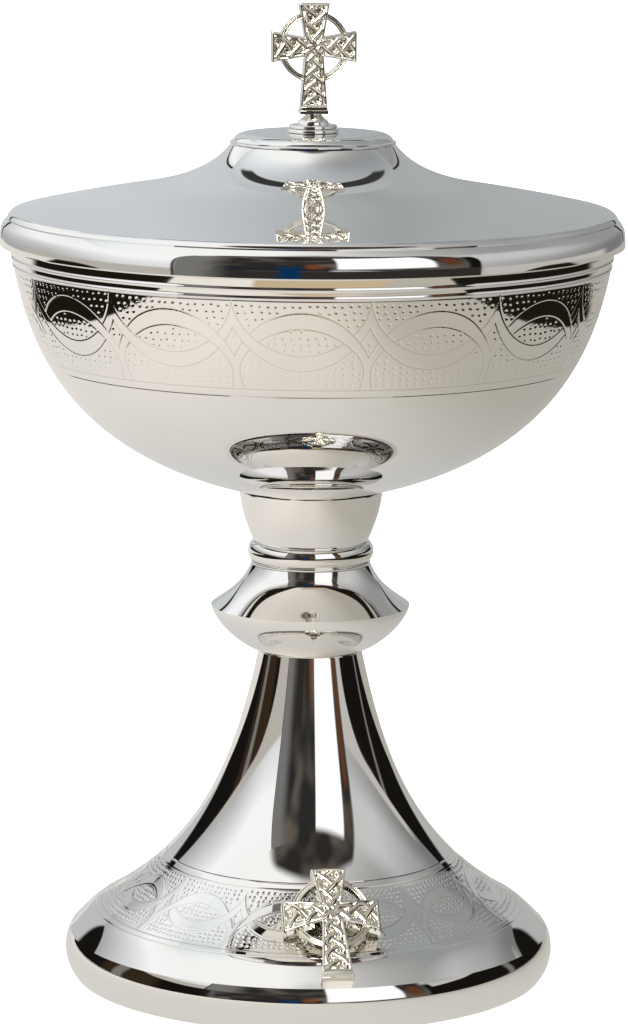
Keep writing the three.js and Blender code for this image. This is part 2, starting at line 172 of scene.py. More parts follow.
class CiboriumOrnament(bpy.types.PropertyGroup):
    """The engraved bands and the two cast crosses."""

    bowl_repeats: count("Bowl repeats", "Eyes round the bowl", 14)
    foot_repeats: count("Foot repeats", "Eyes round the foot", 12)
    bowl_spike_angle: degrees("Bowl spike angle", "An upper spike, to the right of the front", 4.15)
    bowl_band_height: length("Bowl band height", "Height of its middle", 160.45)
    bowl_band_above: length("Bowl band above", "From its middle to its top", 9.8)
    bowl_band_below: length("Bowl band below", "From its middle to its foot", 14.1)
    foot_band_height: length("Foot band height", "Height of its middle", 22)
    foot_band_above: length("Foot band above", "From its middle to its top", 10.8)
    foot_band_below: length("Foot band below", "From its middle to its foot", 11.1)
    line_width: length("Line width", "Half the width of an engraved line", 0.17)
    line_depth: length("Line depth", "Depth of an engraved line", 0.07)
    dot_radius: length("Dot radius", "Radius of a punched dot", 0.42)
    bowl_dot_depth: length("Bowl dot depth", "Depth of a dot on the bowl", 0.085)
    foot_dot_depth: length("Foot dot depth", "Depth of a dot on the foot", 0.12)
    bowl_dot_pitch: length("Bowl dot pitch", "From dot to dot on the bowl", 1.85)
    bowl_row_pitch: length("Bowl row pitch", "From row to row on the bowl", 1.5)
    foot_dot_pitch: length("Foot dot pitch", "From dot to dot on the foot", 1.35)
    foot_row_pitch: length("Foot row pitch", "From row to row on the foot", 1.2)
    seat_depth: length("Band seat", "Thickness of an engraved band", 0.4)
    bead_low: length("Lower bead", "Over the middle of the bowl's band", 10.39)
    bead_high: length("Upper bead", "Over the middle of the bowl's band", 12.37)
    bead_reach: length("Bead reach", "Half the width of a bead", 0.575)
    bead_height: length("Bead height", "How far a bead stands out", 0.22)
    cross_upper: length("Upper arm", "From the crossing to its end", 10.1)
    cross_side: length("Side arm", "From the crossing to its end", 9.9)
    cross_shaft: length("Shaft", "From the crossing to the plinth", 13.9)
    cross_root: length("Arm root", "Width of an arm at the crossing", 4.4)
    cross_end: length("Arm end", "Width of an arm at its end", 7.1)
    cross_foot: length("Shaft foot", "Width of the shaft's foot", 6.3)
    cross_thickness: length("Thickness", "Thickness of the cross", 4)
    cross_ring_radius: length("Ring radius", "Outer radius of the ring", 8.3)
    cross_ring_width: length("Ring width", "Width of the ring", 1.3)
    cross_ring_depth: length("Ring depth", "Thickness of the ring", 2.6)
    cross_plinth_width: length("Plinth width", "Width of the plinth", 6.6)
    cross_plinth_height: length("Plinth height", "Height of the plinth", 1.7)
    cross_plinth_depth: length("Plinth depth", "Thickness of the plinth", 5)
    border: length("Border", "Width of the raised border", 0.4)
    ground_depth: length("Ground", "Depth of the panels", 0.95)
    strand_radius: length("Strand", "Half the width of a strand", 0.78)
    foot_cross_scale: number("Foot cross scale", "Its size against the finial", 1.136)
    foot_cross_thickness: length("Foot cross thickness", "Thickness of its casting", 2.8)
    foot_cross_bend: length("Foot cross bend", "How far its side arms are bent back", 2.1)
    foot_cross_inset: length("Foot cross inset", "From the foot's crease in to its heel", 0.3)
    foot_cross_rise: length("Foot cross rise", "From the foot's crease up to its heel", 1.15)
    foot_cross_tilt: degrees("Foot cross tilt", "How much steeper than the foot it stands", 5.7)
    foot_cross_stand: length("Foot cross stand", "Face over its heel", 2.6)


class CiboriumFinish(bpy.types.PropertyGroup):
    """Colours of the metals, and of the painted shade in the engraving and in the crosses' ground.
    """

    plate: colour("Plate", "Mirror polished plate", (0.9, 0.889, 0.87))
    plate_shade: colour("Plate shade", "Plate where it is faintly toned", (0.87, 0.852, 0.82))
    # Painted shade at the bottom of the engraving
    engraved_shade_colour: colour("Plate recess", "Bottom of the engraving", (0.6, 0.56, 0.48))
    cast: colour("Cast plate", "Raised parts of the crosses", (0.97, 0.945, 0.87))
    # Painted shade in the sunk ground of the crosses
    cast_ground_shade: colour("Cast recess", "Ground of the crosses", (0.07, 0.06, 0.03))
    brass: colour("Brass", "Turned brass inside", (0.62, 0.46, 0.2))
    steel: colour("Steel", "Rod, washers and nuts", (0.5, 0.51, 0.52))
    plate_roughness: share("Plate roughness", "Gloss of the plate", 0.03)
    cast_roughness: share("Cast roughness", "Gloss of the crosses", 0.27)


class CiboriumStudio(bpy.types.PropertyGroup):
    """Camera and studio."""

    camera_distance: length("Camera distance", "From the stem, along the floor", 1061.38)
    camera_height: length("Camera height", "Over the table", 293.67)
    camera_turn: degrees("Camera turn", "How far the foot's cross is turned to the right", 6.8)
    camera_pitch: degrees("Camera pitch", "How far the camera looks down", 9.76)
    camera_roll: degrees("Camera roll", "Tilt of the camera", 0.34)
    focal_pixels: number("Focal length", "In pixels of the picture", 4544.55)
    axis_offset: number("Axis offset", "Pixels from the stem to the picture's middle", 3.12)
    table: colour("Table", "Pale table as the metal mirrors it", (0.8, 0.755, 0.69))
    # Painted light on the table: paler on its lit left, in painted shade on its right and at its
    # back
    table_shaded_back: colour("Table back", "Its cooler back", (0.62, 0.62, 0.61))
    table_lit_left: colour("Table left", "What its left end fades to", (1.0, 0.94, 0.87))
    table_shaded_right: colour("Table right", "What its right end fades to", (0.4, 0.375, 0.32))
    table_front: colour("Table front", "Floor in front of the table", (0.6, 0.47, 0.31))
    table_side: colour("Table side", "Floor beside the table", (0.012, 0.009, 0.006))
    table_far: colour("Far floor", "Floor far in front of the table", (0.03, 0.028, 0.025))
    table_reach: length("Table reach", "Half the width of the table", 375)
    table_near: length("Table edge", "From the stem to its front edge", 400)
    tent_radius: length("Tent radius", "Cloth screens round the object", 330)
    tent_foot: length("Tent foot", "Lower edge of the screens", 149)
    tent_top: length("Tent top", "Upper edge of the screens", 450)
    lamp_power: number("Lamp power", "Power of the soft lamp in watts", 26)
    lamp_size: length("Lamp size", "Width of the soft lamp", 1100)
    lamp_aim: length("Lamp aim", "Height on the stem that it points at", 150)
    lamp_place: FloatVectorProperty(
        name="Lamp place", description="Where it stands", default=(-0.75, -1.1, 0.95), size=3,
        subtype="TRANSLATION",
    )


# Profiles: arrays of points, each a distance from the axis and a height


def sweep(start, start_angle, start_pull, end, end_angle, end_pull, steps=400):
    """A smooth curve between two points.

    It leaves and arrives at angles in degrees, measured from the radius. Each pull says how long it
    keeps to its angle, as a share of the straight distance.
    """
    start, end = np.array(start, float), np.array(end, float)
    reach = np.linalg.norm(end - start)
    a, b = math.radians(start_angle), math.radians(end_angle)
    leave = start + start_pull * reach * np.array([math.cos(a), math.sin(a)])
    arrive = end - end_pull * reach * np.array([math.cos(b), math.sin(b)])
    t = np.linspace(0, 1, steps + 1)[:, None]
    s = 1 - t
    return s**3 * start + 3 * s * s * t * leave + 3 * s * t * t * arrive + t**3 * end


def joined(*lines):
    """Lines one after another, without the points that they share."""
    points = [np.atleast_2d(np.array(line, float)) for line in lines]
    kept = [points[0]]
    for line in points[1:]:
        near = np.linalg.norm(kept[-1][-1] - line[0]) < SAME_PLACE
        kept.append(line[1:] if near else line)
    return np.vstack(kept)


def distances(line):
    """Length along a line at each of its points."""
    return np.concatenate([[0], np.cumsum(np.linalg.norm(np.diff(line, axis=0), axis=1))])


def along(line, start, end, pitch):
    """Points of a line between two lengths along it, at most a pitch apart."""
    steps = max(1, math.ceil(abs(end - start) / pitch))
    s = np.linspace(start, end, steps + 1)
    run = distances(line)
    return np.column_stack([np.interp(s, run, line[:, i]) for i in (0, 1)])


def outward(line):
    """Unit normals of a line that climbs the outside of a turned piece."""
    step = np.gradient(line, axis=0)
    step /= np.linalg.norm(step, axis=1)[:, None]
    return np.column_stack([step[:, 1], -step[:, 0]])


def pushed(line, amount):
    """A line moved along its outward normals."""
    return line + outward(line) * np.reshape(amount, (-1, 1))


def length_at_height(line, height):
    """Length along a rising line where it reaches a height."""
    return float(np.interp(height, line[:, 1], distances(line)))


def above(line, height):
    """The part of a rising line over a height, with its end on it."""
    start = length_at_height(line, height)
    return along(line, start, distances(line)[-1], 0.4 * MM)


def foot_line(sizes):
    """Outer line of the foot above its crease."""
    crease = (sizes.foot_crease_radius, sizes.foot_crease_height)
    shoulder = (sizes.foot_shoulder_radius, sizes.foot_shoulder_height)
    neck = (sizes.foot_neck_radius, sizes.foot_height)
    turn = sweep(crease, 134, 0.5, shoulder, 150, 0.22)
    return joined(turn, sweep(shoulder, 150, 0.417, neck, 102, 0.356, 2000))


def bowl_line(sizes):
    """Outer line of the bowl, from the calyx to the rim."""
    seat = (sizes.calyx_rim_radius, sizes.calyx_top)
    rim = (sizes.bowl_rim_radius, sizes.bowl_rim)
    return sweep(seat, 14, 0.561, rim, 82, 0.281, 3000)


# Meshes


def turned_mesh(profile, steps, closed=True, angle=TURN):
    """A bmesh turned round the Z axis from a profile.

    A slice is spun, and is doubled until it covers the angle.
    """
    bm = bmesh.new()
    points = [bm.verts.new((r, 0, z)) for r, z in profile]
    pairs = list(zip(points, points[1:]))
    if closed:
        pairs.append((points[-1], points[0]))
    edges = [bm.edges.new(pair) for pair in pairs]
    doublings = 0
    few_steps = 24
    while steps % 2 == 0 and steps > few_steps:
        steps //= 2
        angle /= 2
        doublings += 1
    bmesh.ops.spin(
        bm, geom=points + edges, cent=(0, 0, 0), axis=(0, 0, 1), dvec=(0, 0, 0), angle=angle,
        steps=steps, use_merge=False, use_normal_flip=False, use_duplicate=False,
    )
    for _ in range(doublings):
        made = bmesh.ops.duplicate(bm, geom=bm.verts[:] + bm.edges[:] + bm.faces[:])
        copied = [item for item in made["geom"] if isinstance(item, bmesh.types.BMVert)]
        bmesh.ops.rotate(bm, verts=copied, cent=(0, 0, 0), matrix=Matrix.Rotation(angle, 3, "Z"))
        angle *= 2
    bmesh.ops.remove_doubles(bm, verts=bm.verts, dist=WELD)
    return bm


def finish_bmesh(bm):
    """Welds points that meet and turns the faces outwards."""
    bmesh.ops.remove_doubles(bm, verts=bm.verts, dist=WELD)
    bmesh.ops.recalc_face_normals(bm, faces=bm.faces)


def shade(bm, sharp_angle):
    """Smooth faces, with the edges over an angle kept sharp."""
    limit = math.radians(sharp_angle)
    for face in bm.faces:
        face.smooth = True
    for edge in bm.edges:
        edge.smooth = not (edge.is_manifold and edge.calc_face_angle(0) > limit)


def place(name, bm, material, body, slot, *nodes):
    """Turns a bmesh into a finished piece that rides on a body and stands for CAD nodes."""
    mesh = bpy.data.meshes.new(name)
    bm.to_mesh(mesh)
    bm.free()
    mesh.materials.append(material)
    piece = bpy.data.objects.new(name, mesh)
    bpy.context.scene.collection.objects.link(piece)
    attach(piece, body)
    if nodes:
        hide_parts(*nodes)
    return piece


def spun_piece(name, profile, material, body, node, steps=256, closed=True, sharp=6):
    """A spun piece in the bright plate."""
    bm = turned_mesh(profile, steps, closed)
    finish_bmesh(bm)
    shade(bm, sharp)
    return place(name, bm, material, body, "bright_plate", node)


# Engraved bands


class Band:
    """A ring of relief on a turned surface.

    Columns run round it and rows run up it. The motif is drawn at the scale of the bowl's band, in
    millimetres from an eye's centre, and HALF_PERIOD is the distance from an eye to a spike. A
    punched dot has a burr round it: its sizes are shares of the dot's radius and depth. Each cell
    also keeps a painted shade, which darkens the engraved lines and the dots.
    """

    HALF_PERIOD = 15.39
    NO_LINE_NEAR = 1.0
    BURR_FROM, BURR_TOP, BURR_WIDTH, BURR_END = 0.9, 1.12, 0.22, 1.35
    BURR_HEIGHT = 0.16
    # Painted shade in the middle of a punched dot
    DOT_SHADE = 0.5

    def __init__(self, line, middle, above, below, columns, rows, repeats, spike_angle):
        run = length_at_height(line, middle)
        self.points = along(line, run - below, run + above, (above + below) / rows * 1.0001)
        self.rise = np.linspace(-below, above, len(self.points))
        self.normals = outward(self.points)
        self.columns = columns
        self.repeats = repeats
        self.spike_angle = spike_angle
        self.angles = np.arange(columns) * TURN / columns
        self.height = np.zeros((len(self.points), columns))
        # Painted shade of each cell, from 0 to 1, which darkens the engraving
        self.tone = np.zeros((len(self.points), columns))
        self.gap = np.full((len(self.points), columns), self.NO_LINE_NEAR)

    def window(self, angle, rise, reach):
        """Rows, columns and distances of the cells within reach of a point."""
        radius = float(np.interp(rise, self.rise, self.points[:, 0]))
        pitch = self.rise[1] - self.rise[0]
        low = max(0, int(math.floor((rise - reach - self.rise[0]) / pitch)))
        high = min(len(self.rise), int(math.ceil((rise + reach - self.rise[0]) / pitch)) + 1)
        if high <= low:
            return None
        step = TURN / self.columns
        first = int(math.floor((angle - reach / radius) / step))
        last = int(math.ceil((angle + reach / radius) / step)) + 1
        span = np.arange(first, last)
        across = (span * step - angle) * radius
        up = self.rise[low:high] - rise
        return slice(low, high), span % self.columns, np.hypot(across[None, :], up[:, None])

    def stroke(self, angle, rise, reach):
        """Notes how near each cell is to a point of a line."""
        found = self.window(angle, rise, reach)
        if found:
            rows, columns, distance = found
            block = self.gap[rows, columns]
            self.gap[rows, columns] = np.minimum(block, distance)

    def near(self, angle, rise):
        """Distance from a point to the nearest line, up to the reach of the strokes."""
        row = int(np.argmin(np.abs(self.rise - rise)))
        column = int(round(angle / TURN * self.columns)) % self.columns
        return self.gap[row, column]

    def punch(self, angle, rise, radius, depth):
        """Sinks a round dot with a faint burr round it, and paints shade in it."""
        found = self.window(angle, rise, radius * self.BURR_END)
        if found:
            rows, columns, distance = found
            share_out = distance / radius
            bowl = np.clip(1 - share_out**2, 0, None) * depth
            burr = np.clip(1 - np.abs(share_out - self.BURR_TOP) / self.BURR_WIDTH, 0, None)
            burr *= depth * self.BURR_HEIGHT
            self.height[rows, columns] += burr * (share_out > self.BURR_FROM) - bowl
            # Painted shade in the dot, darkest where it sinks deepest
            tone = self.DOT_SHADE * bowl / depth
            self.tone[rows, columns] = np.maximum(self.tone[rows, columns], tone)


def motif_edges():
    """The arch over half an eye and the dip under it, as pairs of edges.

    They are in millimetres at the bowl's scale, and each runs from the eye's middle to the spike.
    The arch ends in the lower spike, whose sides run down to the border, and the dip ends in the
    upper one.
    """
    half = Band.HALF_PERIOD
    eye, ribbon = 3.35, 7.1
    corner, over, under = (9.6, 0), (9.1, 4.1), (9.1, -4.1)
    neck, spike = (14.5, -6.8), (13.9, -12.1)
    arch_low = joined(
        sweep((0, eye), 0, 0.38, corner, -37, 0.28, 60),
        sweep(corner, -38, 0.3, neck, -80, 0.38, 40),
        sweep(neck, -84, 0.3, spike, -100, 0.3, 24),
    )
    arch_high = joined(
        sweep((0, ribbon), 0, 0.38, over, -36, 0.28, 60),
        sweep(over, -37, 0.3, (half, -3.6), -68, 0.3, 40),
    )
    dip_high = joined(
        sweep((0, -eye), 0, 0.38, corner, 37, 0.28, 60),
        sweep(corner, 38, 0.33, (half, 9.6), 84, 0.36, 50),
    )
    dip_low = joined(
        sweep((0, -ribbon), 0, 0.38, under, 36, 0.28, 60),
        sweep(under, 37, 0.3, (half, 3.5), 68, 0.3, 40),
    )
    return arch_low, arch_high, dip_high, dip_low


def between_edges(u, v, low, high):
    """Whether points lie between two edges of a ribbon."""
    return (v > np.interp(u, low[:, 0], low[:, 1])) & (v < np.interp(u, high[:, 0], high[:, 1]))


# The two bands: scale and hand of the motif, border lines over and under the band's middle, depth
# of the sunk ground, pieces it is cut into and the finest and the quick grid of its relief
BANDS = {
    "foot": {
        "scale": 0.8, "mirrored": True, "borders": (-9.45 * MM, 8.9 * MM), "ground": 0.07 * MM,
        "sectors": 3, "cells": (1728, 136), "quick_cells": (576, 44),
    },
    "bowl": {
        "scale": 1.0, "mirrored": False, "borders": (-12.1 * MM, 9.9 * MM), "ground": 0.0,
        "sectors": 4, "cells": (2560, 144), "quick_cells": (960, 54),
    },
}
# In the motif's millimetres: from point to point of a line, and a height under the whole motif
STROKE_PITCH = 0.09
FAR_BELOW = -30
# Lengths on the metal, and shares of a dot's or a line's size
STROKE_REACH = 1.0 * MM
FIRST_ROW, LAST_ROW = 1.2 * MM, 0.5 * MM
LINE_FADE, BORDER_FADE = 0.45 * MM, 0.4 * MM
DOT_CLEARANCE = 1.25
BORDER_WIDTH = 1.2
BROKEN_EDGE = (1.0, 0.45)
# How far a punch strays: along its row, across its row, in size and in depth
STRAY_ALONG, STRAY_ACROSS = 0.13, 0.12
STRAY_SIZE, STRAY_DEPTH = (0.88, 1.1), (0.85, 1.1)


def engrave(band, ornament, scale, mirrored, dot_pitch, row_pitch, dot_depth, borders, ground):
    """Draws the interlaced ribbons, the border lines and the punched ground of a band.

    It paints shade in the lines and the dots.
    """
    half = Band.HALF_PERIOD
    arch_low, arch_high, dip_high, dip_low = motif_edges()
    # Up to the neck of the lower spike its side is a function of the distance from the eye
    neck = int(np.argmax(arch_low[:, 0]))
    beside = arch_low[neck, 0] + 0.01
    arch_side = joined(arch_low[: neck + 1], [(beside, FAR_BELOW), (half, FAR_BELOW)])

    def hidden(u, v, right, is_arch):
        """Whether points of a ribbon's edge pass under the other ribbon."""
        over_arch = right != mirrored
        if is_arch and not over_arch:
            return between_edges(u, v, dip_low, dip_high)
        if not is_arch and over_arch:
            return between_edges(u, v, arch_side, arch_high)
        return np.zeros(np.shape(u), bool)

    half_angle = TURN / band.repeats / 2
    for repeat in range(band.repeats):
        centre = band.spike_angle + (2 * repeat + 1) * half_angle
        for side in (-1, 1):
            for edge, is_arch in (
                (arch_low, True), (arch_high, True), (dip_high, False), (dip_low, False),
            ):
                line = along(edge, 0, distances(edge)[-1], STROKE_PITCH)
                lost = hidden(line[:, 0], line[:, 1], side > 0, is_arch)
                lost |= line[:, 1] * scale * MM < borders[0]
                for (u, v), gone in zip(line, lost):
                    if not gone:
                        angle = centre + side * u / half * half_angle
                        band.stroke(angle, v * scale * MM, STROKE_REACH)

    def plain(angle, rise):
        """Whether places lie on a ribbon, which has no dots."""
        turns = (angle - band.spike_angle) / (2 * half_angle)
        u = abs((turns % 1) - 0.5) * 2 * half
        v = rise / (scale * MM)
        return between_edges(u, v, arch_side, arch_high) | between_edges(u, v, dip_low, dip_high)

    grid_angle, grid_rise = np.meshgrid(band.angles, band.rise)
    ribbon = plain(grid_angle, grid_rise)
    low, high = borders
    field = (grid_rise > low) & (grid_rise < high) & ~ribbon
    fade = np.clip(band.gap / LINE_FADE, 0, 1)
    edge_fade = np.clip(np.minimum(grid_rise - low, high - grid_rise) / BORDER_FADE, 0, 1)
    band.height -= np.where(field, ground * fade * edge_fade, 0)

    chance = random.Random(7)
    row = 0
    rise = high - FIRST_ROW
    while rise > low + LAST_ROW:
        radius = float(np.interp(rise, band.rise, band.points[:, 0]))
        dots = int(round(TURN * radius / dot_pitch))
        for i in range(dots):
            stray = chance.uniform(-STRAY_ALONG, STRAY_ALONG)
            angle = (i + 0.5 * (row % 2) + stray) * TURN / dots
            shifted = rise + chance.uniform(-STRAY_ACROSS, STRAY_ACROSS) * row_pitch
            size = ornament.dot_radius * chance.uniform(*STRAY_SIZE)
            if plain(angle, shifted) or band.near(angle, shifted) < size * DOT_CLEARANCE:
                continue
            band.punch(angle, shifted, size, dot_depth * chance.uniform(*STRAY_DEPTH))
        rise -= row_pitch
        row += 1

    border_gap = np.min([np.abs(grid_rise - line) for line in borders], axis=0) / BORDER_WIDTH
    groove = np.clip(1 - np.minimum(band.gap, border_gap) / ornament.line_width, 0, 1)
    groove *= 2 - groove
    band.height -= ornament.line_depth * groove
    # Painted shade in the engraved lines
    band.tone = np.maximum(band.tone, groove)
    # The band's own edges are broken, so that its joint reads as one more engraved line, with
    # painted shade in it
    broken = list(zip((0, 1), BROKEN_EDGE))
    if high < band.rise[-1]:
        broken += zip((-1, -2), BROKEN_EDGE)
    for row, share_of in broken:
        band.height[row] = np.minimum(band.height[row], -ornament.line_depth * share_of)
        band.tone[row] = np.maximum(band.tone[row], share_of)


def engraved_band(kind, line, spike_angle, ornament, finish, node):
    """Makes the engraved band of the foot or the bowl."""
    style = BANDS[kind]
    columns, rows = style["cells"]
    own = {
        key: getattr(ornament, f"{kind}_{key}")
        for key in (
            "band_height", "band_above", "band_below", "repeats",
            "dot_pitch", "row_pitch", "dot_depth",
        )
    }
    band = Band(
        line, own["band_height"], own["band_above"], own["band_below"], columns, rows,
        own["repeats"], spike_angle,
    )
    engrave(
        band, ornament, style["scale"], style["mirrored"], own["dot_pitch"], own["row_pitch"],
        own["dot_depth"], style["borders"], style["ground"],
    )
    plate = material_named("bright_plate_engraved", finish)
    band_pieces(f"{kind}_band", band, ornament, plate, "vessel", node, style["sectors"])


def band_pieces(name, band, ornament, material, body, node, sectors):
    """Cuts a band into sectors, each a closed sleeve with relief on its outside."""
    per_sector = band.columns // sectors
    depth = ornament.seat_depth - 0.02 * MM
    inner = pushed(band.points, -depth)[[-1, len(band.points) // 2, 0]]
    inner[0] = band.points[-1] - band.normals[-1] * depth
    inner[-1] = band.points[0] - band.normals[0] * depth
    profile = np.vstack([band.points, inner])
    count = len(band.points)
    turned = turned_mesh(profile, per_sector, angle=TURN / sectors)
    bmesh.ops.holes_fill(turned, edges=[e for e in turned.edges if e.is_boundary], sides=0)
    bmesh.ops.recalc_face_normals(turned, faces=turned.faces)
    shade(turned, 40)
    for sector in range(sectors):
        bm = turned.copy()
        matrix = Matrix.Rotation(sector * TURN / sectors, 3, "Z")
        bmesh.ops.rotate(bm, verts=bm.verts, cent=(0, 0, 0), matrix=matrix)
        piece = place(f"{name}_{sector + 1}", bm, material, body, "bright_plate", node)
        emboss(piece, band, sector * per_sector, per_sector, count, ornament)
    turned.free()


def emboss(piece, band, first, per_sector, count, ornament):
    """Moves the outer points of a sleeve by the band's relief and notes each one's painted shade.
    """
    mesh = piece.data
    co = np.zeros(len(mesh.vertices) * 3)
    mesh.vertices.foreach_get("co", co)
    co = co.reshape(-1, 3)
    radius = np.hypot(co[:, 0], co[:, 1])
    angle = np.arctan2(co[:, 1], co[:, 0])
    middle = (first + per_sector / 2) * TURN / band.columns
    angle = middle + (angle - middle + math.pi) % TURN - math.pi
    column = np.round(angle / TURN * band.columns).astype(int) % band.columns
    heights = band.points[:, 1]
    row = np.round(np.interp(co[:, 2], heights, np.arange(count))).astype(int)
    outer = np.hypot(radius - band.points[row, 0], co[:, 2] - heights[row]) < 0.02 * MM
    lift = np.where(outer, band.height[row, column], 0)
    normal = band.normals[row]
    co[:, 0] += lift * normal[:, 0] * np.cos(angle)
    co[:, 1] += lift * normal[:, 0] * np.sin(angle)
    co[:, 2] += lift * normal[:, 1]
    mesh.vertices.foreach_set("co", co.ravel())
    # Painted shade for the material: the band's own on the outside, full shade on the hidden inner
    # faces
    engraving_shade = mesh.attributes.new("engraving_shade", "FLOAT", "POINT")
    tone = np.where(outer, band.tone[row, column], 1)
    engraving_shade.data.foreach_set("value", tone.astype(np.float32))
    mesh.update()


# Materials


class Nodes:
    """Short calls for building a node tree."""

    def __init__(self, tree):
        self.tree = tree
        tree.nodes.clear()

    def add(self, kind, inputs=None, **settings):
        """A new node with its settings and its inputs."""
        node = self.tree.nodes.new(kind)
        for key, value in settings.items():
            setattr(node, key, value)
        for key, value in (inputs or {}).items():
            self.feed(node.inputs[key], value)
        return node

    def feed(self, socket, value):
        """Links another node's output to a socket, or sets the socket to a plain value."""
        if isinstance(value, bpy.types.NodeSocket):
            self.tree.links.new(value, socket)
        else:
            socket.default_value = value

    def math(self, operation, *values):
        """One step of arithmetic."""
        node = self.add("ShaderNodeMath", operation=operation)
        for socket, value in zip(node.inputs, values):
            self.feed(socket, value)
        return node.outputs[0]

    def squares(self, a, b):
        """The sum of two values' squares."""
        return self.math("MULTIPLY_ADD", b, b, self.math("MULTIPLY", a, a))

    def between(self, share_of, a, b):
        """A value at a share of the way from a to b."""
        return self.math("MULTIPLY_ADD", self.math("SUBTRACT", b, a), share_of, a)

    def ramp(self, value, low, high, start=0.0, end=1.0, smooth=True):
        """From start to end while a value climbs from low to high."""
        node = self.add(
            "ShaderNodeMapRange",
            {"Value": value, "From Min": low, "From Max": high, "To Min": start, "To Max": end},
            interpolation_type="SMOOTHSTEP" if smooth else "LINEAR",
        )
        return node.outputs["Result"]

    def mix(self, factor, a, b):
        """From colour a to colour b, by a factor that is kept between 0 and 1."""
        node = self.add("ShaderNodeMix", data_type="RGBA")
        self.feed(node.inputs["Factor"], factor)
        self.feed(node.inputs[6], a)
        self.feed(node.inputs[7], b)
        return node.outputs[2]

    def tinted(self, level, tint):
        """A tint at a level from 0 to 1."""
        return self.mix(level, BLACK, rgba(tint))

    def noise(self, where, scale, detail, roughness=0.5):
        """Cloudy noise over a place."""
        node = self.add(
            "ShaderNodeTexNoise",
            {"Vector": where, "Scale": scale, "Detail": detail, "Roughness": roughness},
        )
        return node.outputs["Fac"]

    def bump(self, height, strength, distance, normal=None):
        """A normal that leans with a height."""
        inputs = {"Height": height, "Strength": strength, "Distance": distance}
        if normal is not None:
            inputs["Normal"] = normal
        return self.add("ShaderNodeBump", inputs).outputs[0]

    def position(self, kind="Object"):
        """Where the shaded point lies."""
        return self.add("ShaderNodeTexCoord").outputs[kind]

    def attribute(self, name):
        """A value kept with the mesh's points."""
        return self.add("ShaderNodeAttribute", attribute_name=name).outputs["Fac"]

    def ray(self, kind):
        """1 for one kind of ray and 0 for the others."""
        return self.add("ShaderNodeLightPath").outputs[kind]

    def glow(self, look, strength=1.0):
        """A surface that shines in a colour of its own."""
        return self.add("ShaderNodeEmission", {"Color": look, "Strength": strength}).outputs[0]

    def choose(self, factor, a, b):
        """Surface a or, where the factor is 1, surface b."""
        node = self.add("ShaderNodeMixShader", {"Fac": factor})
        self.feed(node.inputs[1], a)
        self.feed(node.inputs[2], b)
        return node.outputs[0]

    def finish(self, kind, surface):
        """Gives the tree its output."""
        self.add(kind, {"Surface": surface})


def rgba(value):
    """A colour with its alpha at 1."""
    return (*value, 1.0)


def metal(name):
    """A new metal material with its node helper and shader."""
    material = bpy.data.materials.new(name)
    material.use_nodes = True
    nodes = Nodes(material.node_tree)
    shader = nodes.add("ShaderNodeBsdfPrincipled", {"Metallic": 1.0})
    nodes.finish("ShaderNodeOutputMaterial", shader.outputs[0])
    return material, nodes, shader


def dress(nodes, shader, base, rough, normal):
    """Gives a metal its colour, its gloss and its fine surface."""
    nodes.feed(shader.inputs["Base Color"], base)
    nodes.feed(shader.inputs["Roughness"], rough)
    nodes.feed(shader.inputs["Normal"], normal)


def plate_material(name, finish, engraved=False):
    """Mirror plate: a faint toning, polishing haze in patches and hair-fine spinning marks.

    Engraved plate gets brown painted shade in its lines and dots.
    """
    material, nodes, shader = metal(name)
    where = nodes.position()
    toned = nodes.ramp(nodes.noise(where, 22.0, 3.0, 0.55), 0.42, 0.72, 0, 0.6)
    base = nodes.mix(toned, rgba(finish.plate), rgba(finish.plate_shade))
    haze = nodes.noise(where, 60.0, 4.0, 0.6)
    middle = finish.plate_roughness
    rough = nodes.ramp(haze, 0.35, 0.75, middle * 0.7, middle * 1.7)
    if engraved:
        # Painted shade: the engraved lines and dots are darkened towards a brown shade colour
        depth = nodes.ramp(nodes.attribute("engraving_shade"), 0.25, 1.0, 0, 0.75)
        base = nodes.mix(depth, base, rgba(finish.engraved_shade_colour))
        rough = nodes.math("MULTIPLY_ADD", depth, 0.12, rough)
    # The marks run round the axis: they vary with the radius and the height only
    parts = nodes.add("ShaderNodeSeparateXYZ", {"Vector": where}).outputs
    radius = nodes.math("SQRT", nodes.squares(parts["X"], parts["Y"]))
    turned = nodes.add("ShaderNodeCombineXYZ", {"X": radius, "Y": parts["Z"], "Z": 0.0})
    marks = nodes.noise(turned.outputs[0], 2600.0, 2.0, 0.6)
    soft = nodes.bump(nodes.noise(where, 38.0, 1.0, 0.4), 1.0, 0.012 * MM)
    dress(nodes, shader, base, rough, nodes.bump(marks, 0.35, 0.0012 * MM, soft))
    return material


def cast_material(finish):
    """Cast plate: bright on the raised work, nearly black in the ground, with a fine cast skin.

    The dark in the ground is painted shade.
    """
    material, nodes, shader = metal("cast_plate")
    # Painted shade: the sunk ground darkens to nearly black, broken by the speckle
    depth = nodes.attribute("recess_shade")
    speckle = nodes.noise(nodes.position(), 900.0, 4.0, 0.6)
    uneven = nodes.math("MULTIPLY_ADD", speckle, 0.5, nodes.math("ADD", depth, -0.25))
    base = nodes.mix(nodes.ramp(uneven, 0.62, 0.92), rgba(finish.cast), rgba(finish.cast_ground_shade))
    middle = finish.cast_roughness
    rough = nodes.ramp(speckle, 0.3, 0.75, middle * 0.6, middle * 1.5)
    rough = nodes.math("MULTIPLY_ADD", depth, 0.25, rough)
    dress(nodes, shader, base, rough, nodes.bump(speckle, 0.5, 0.06 * MM))
    return material


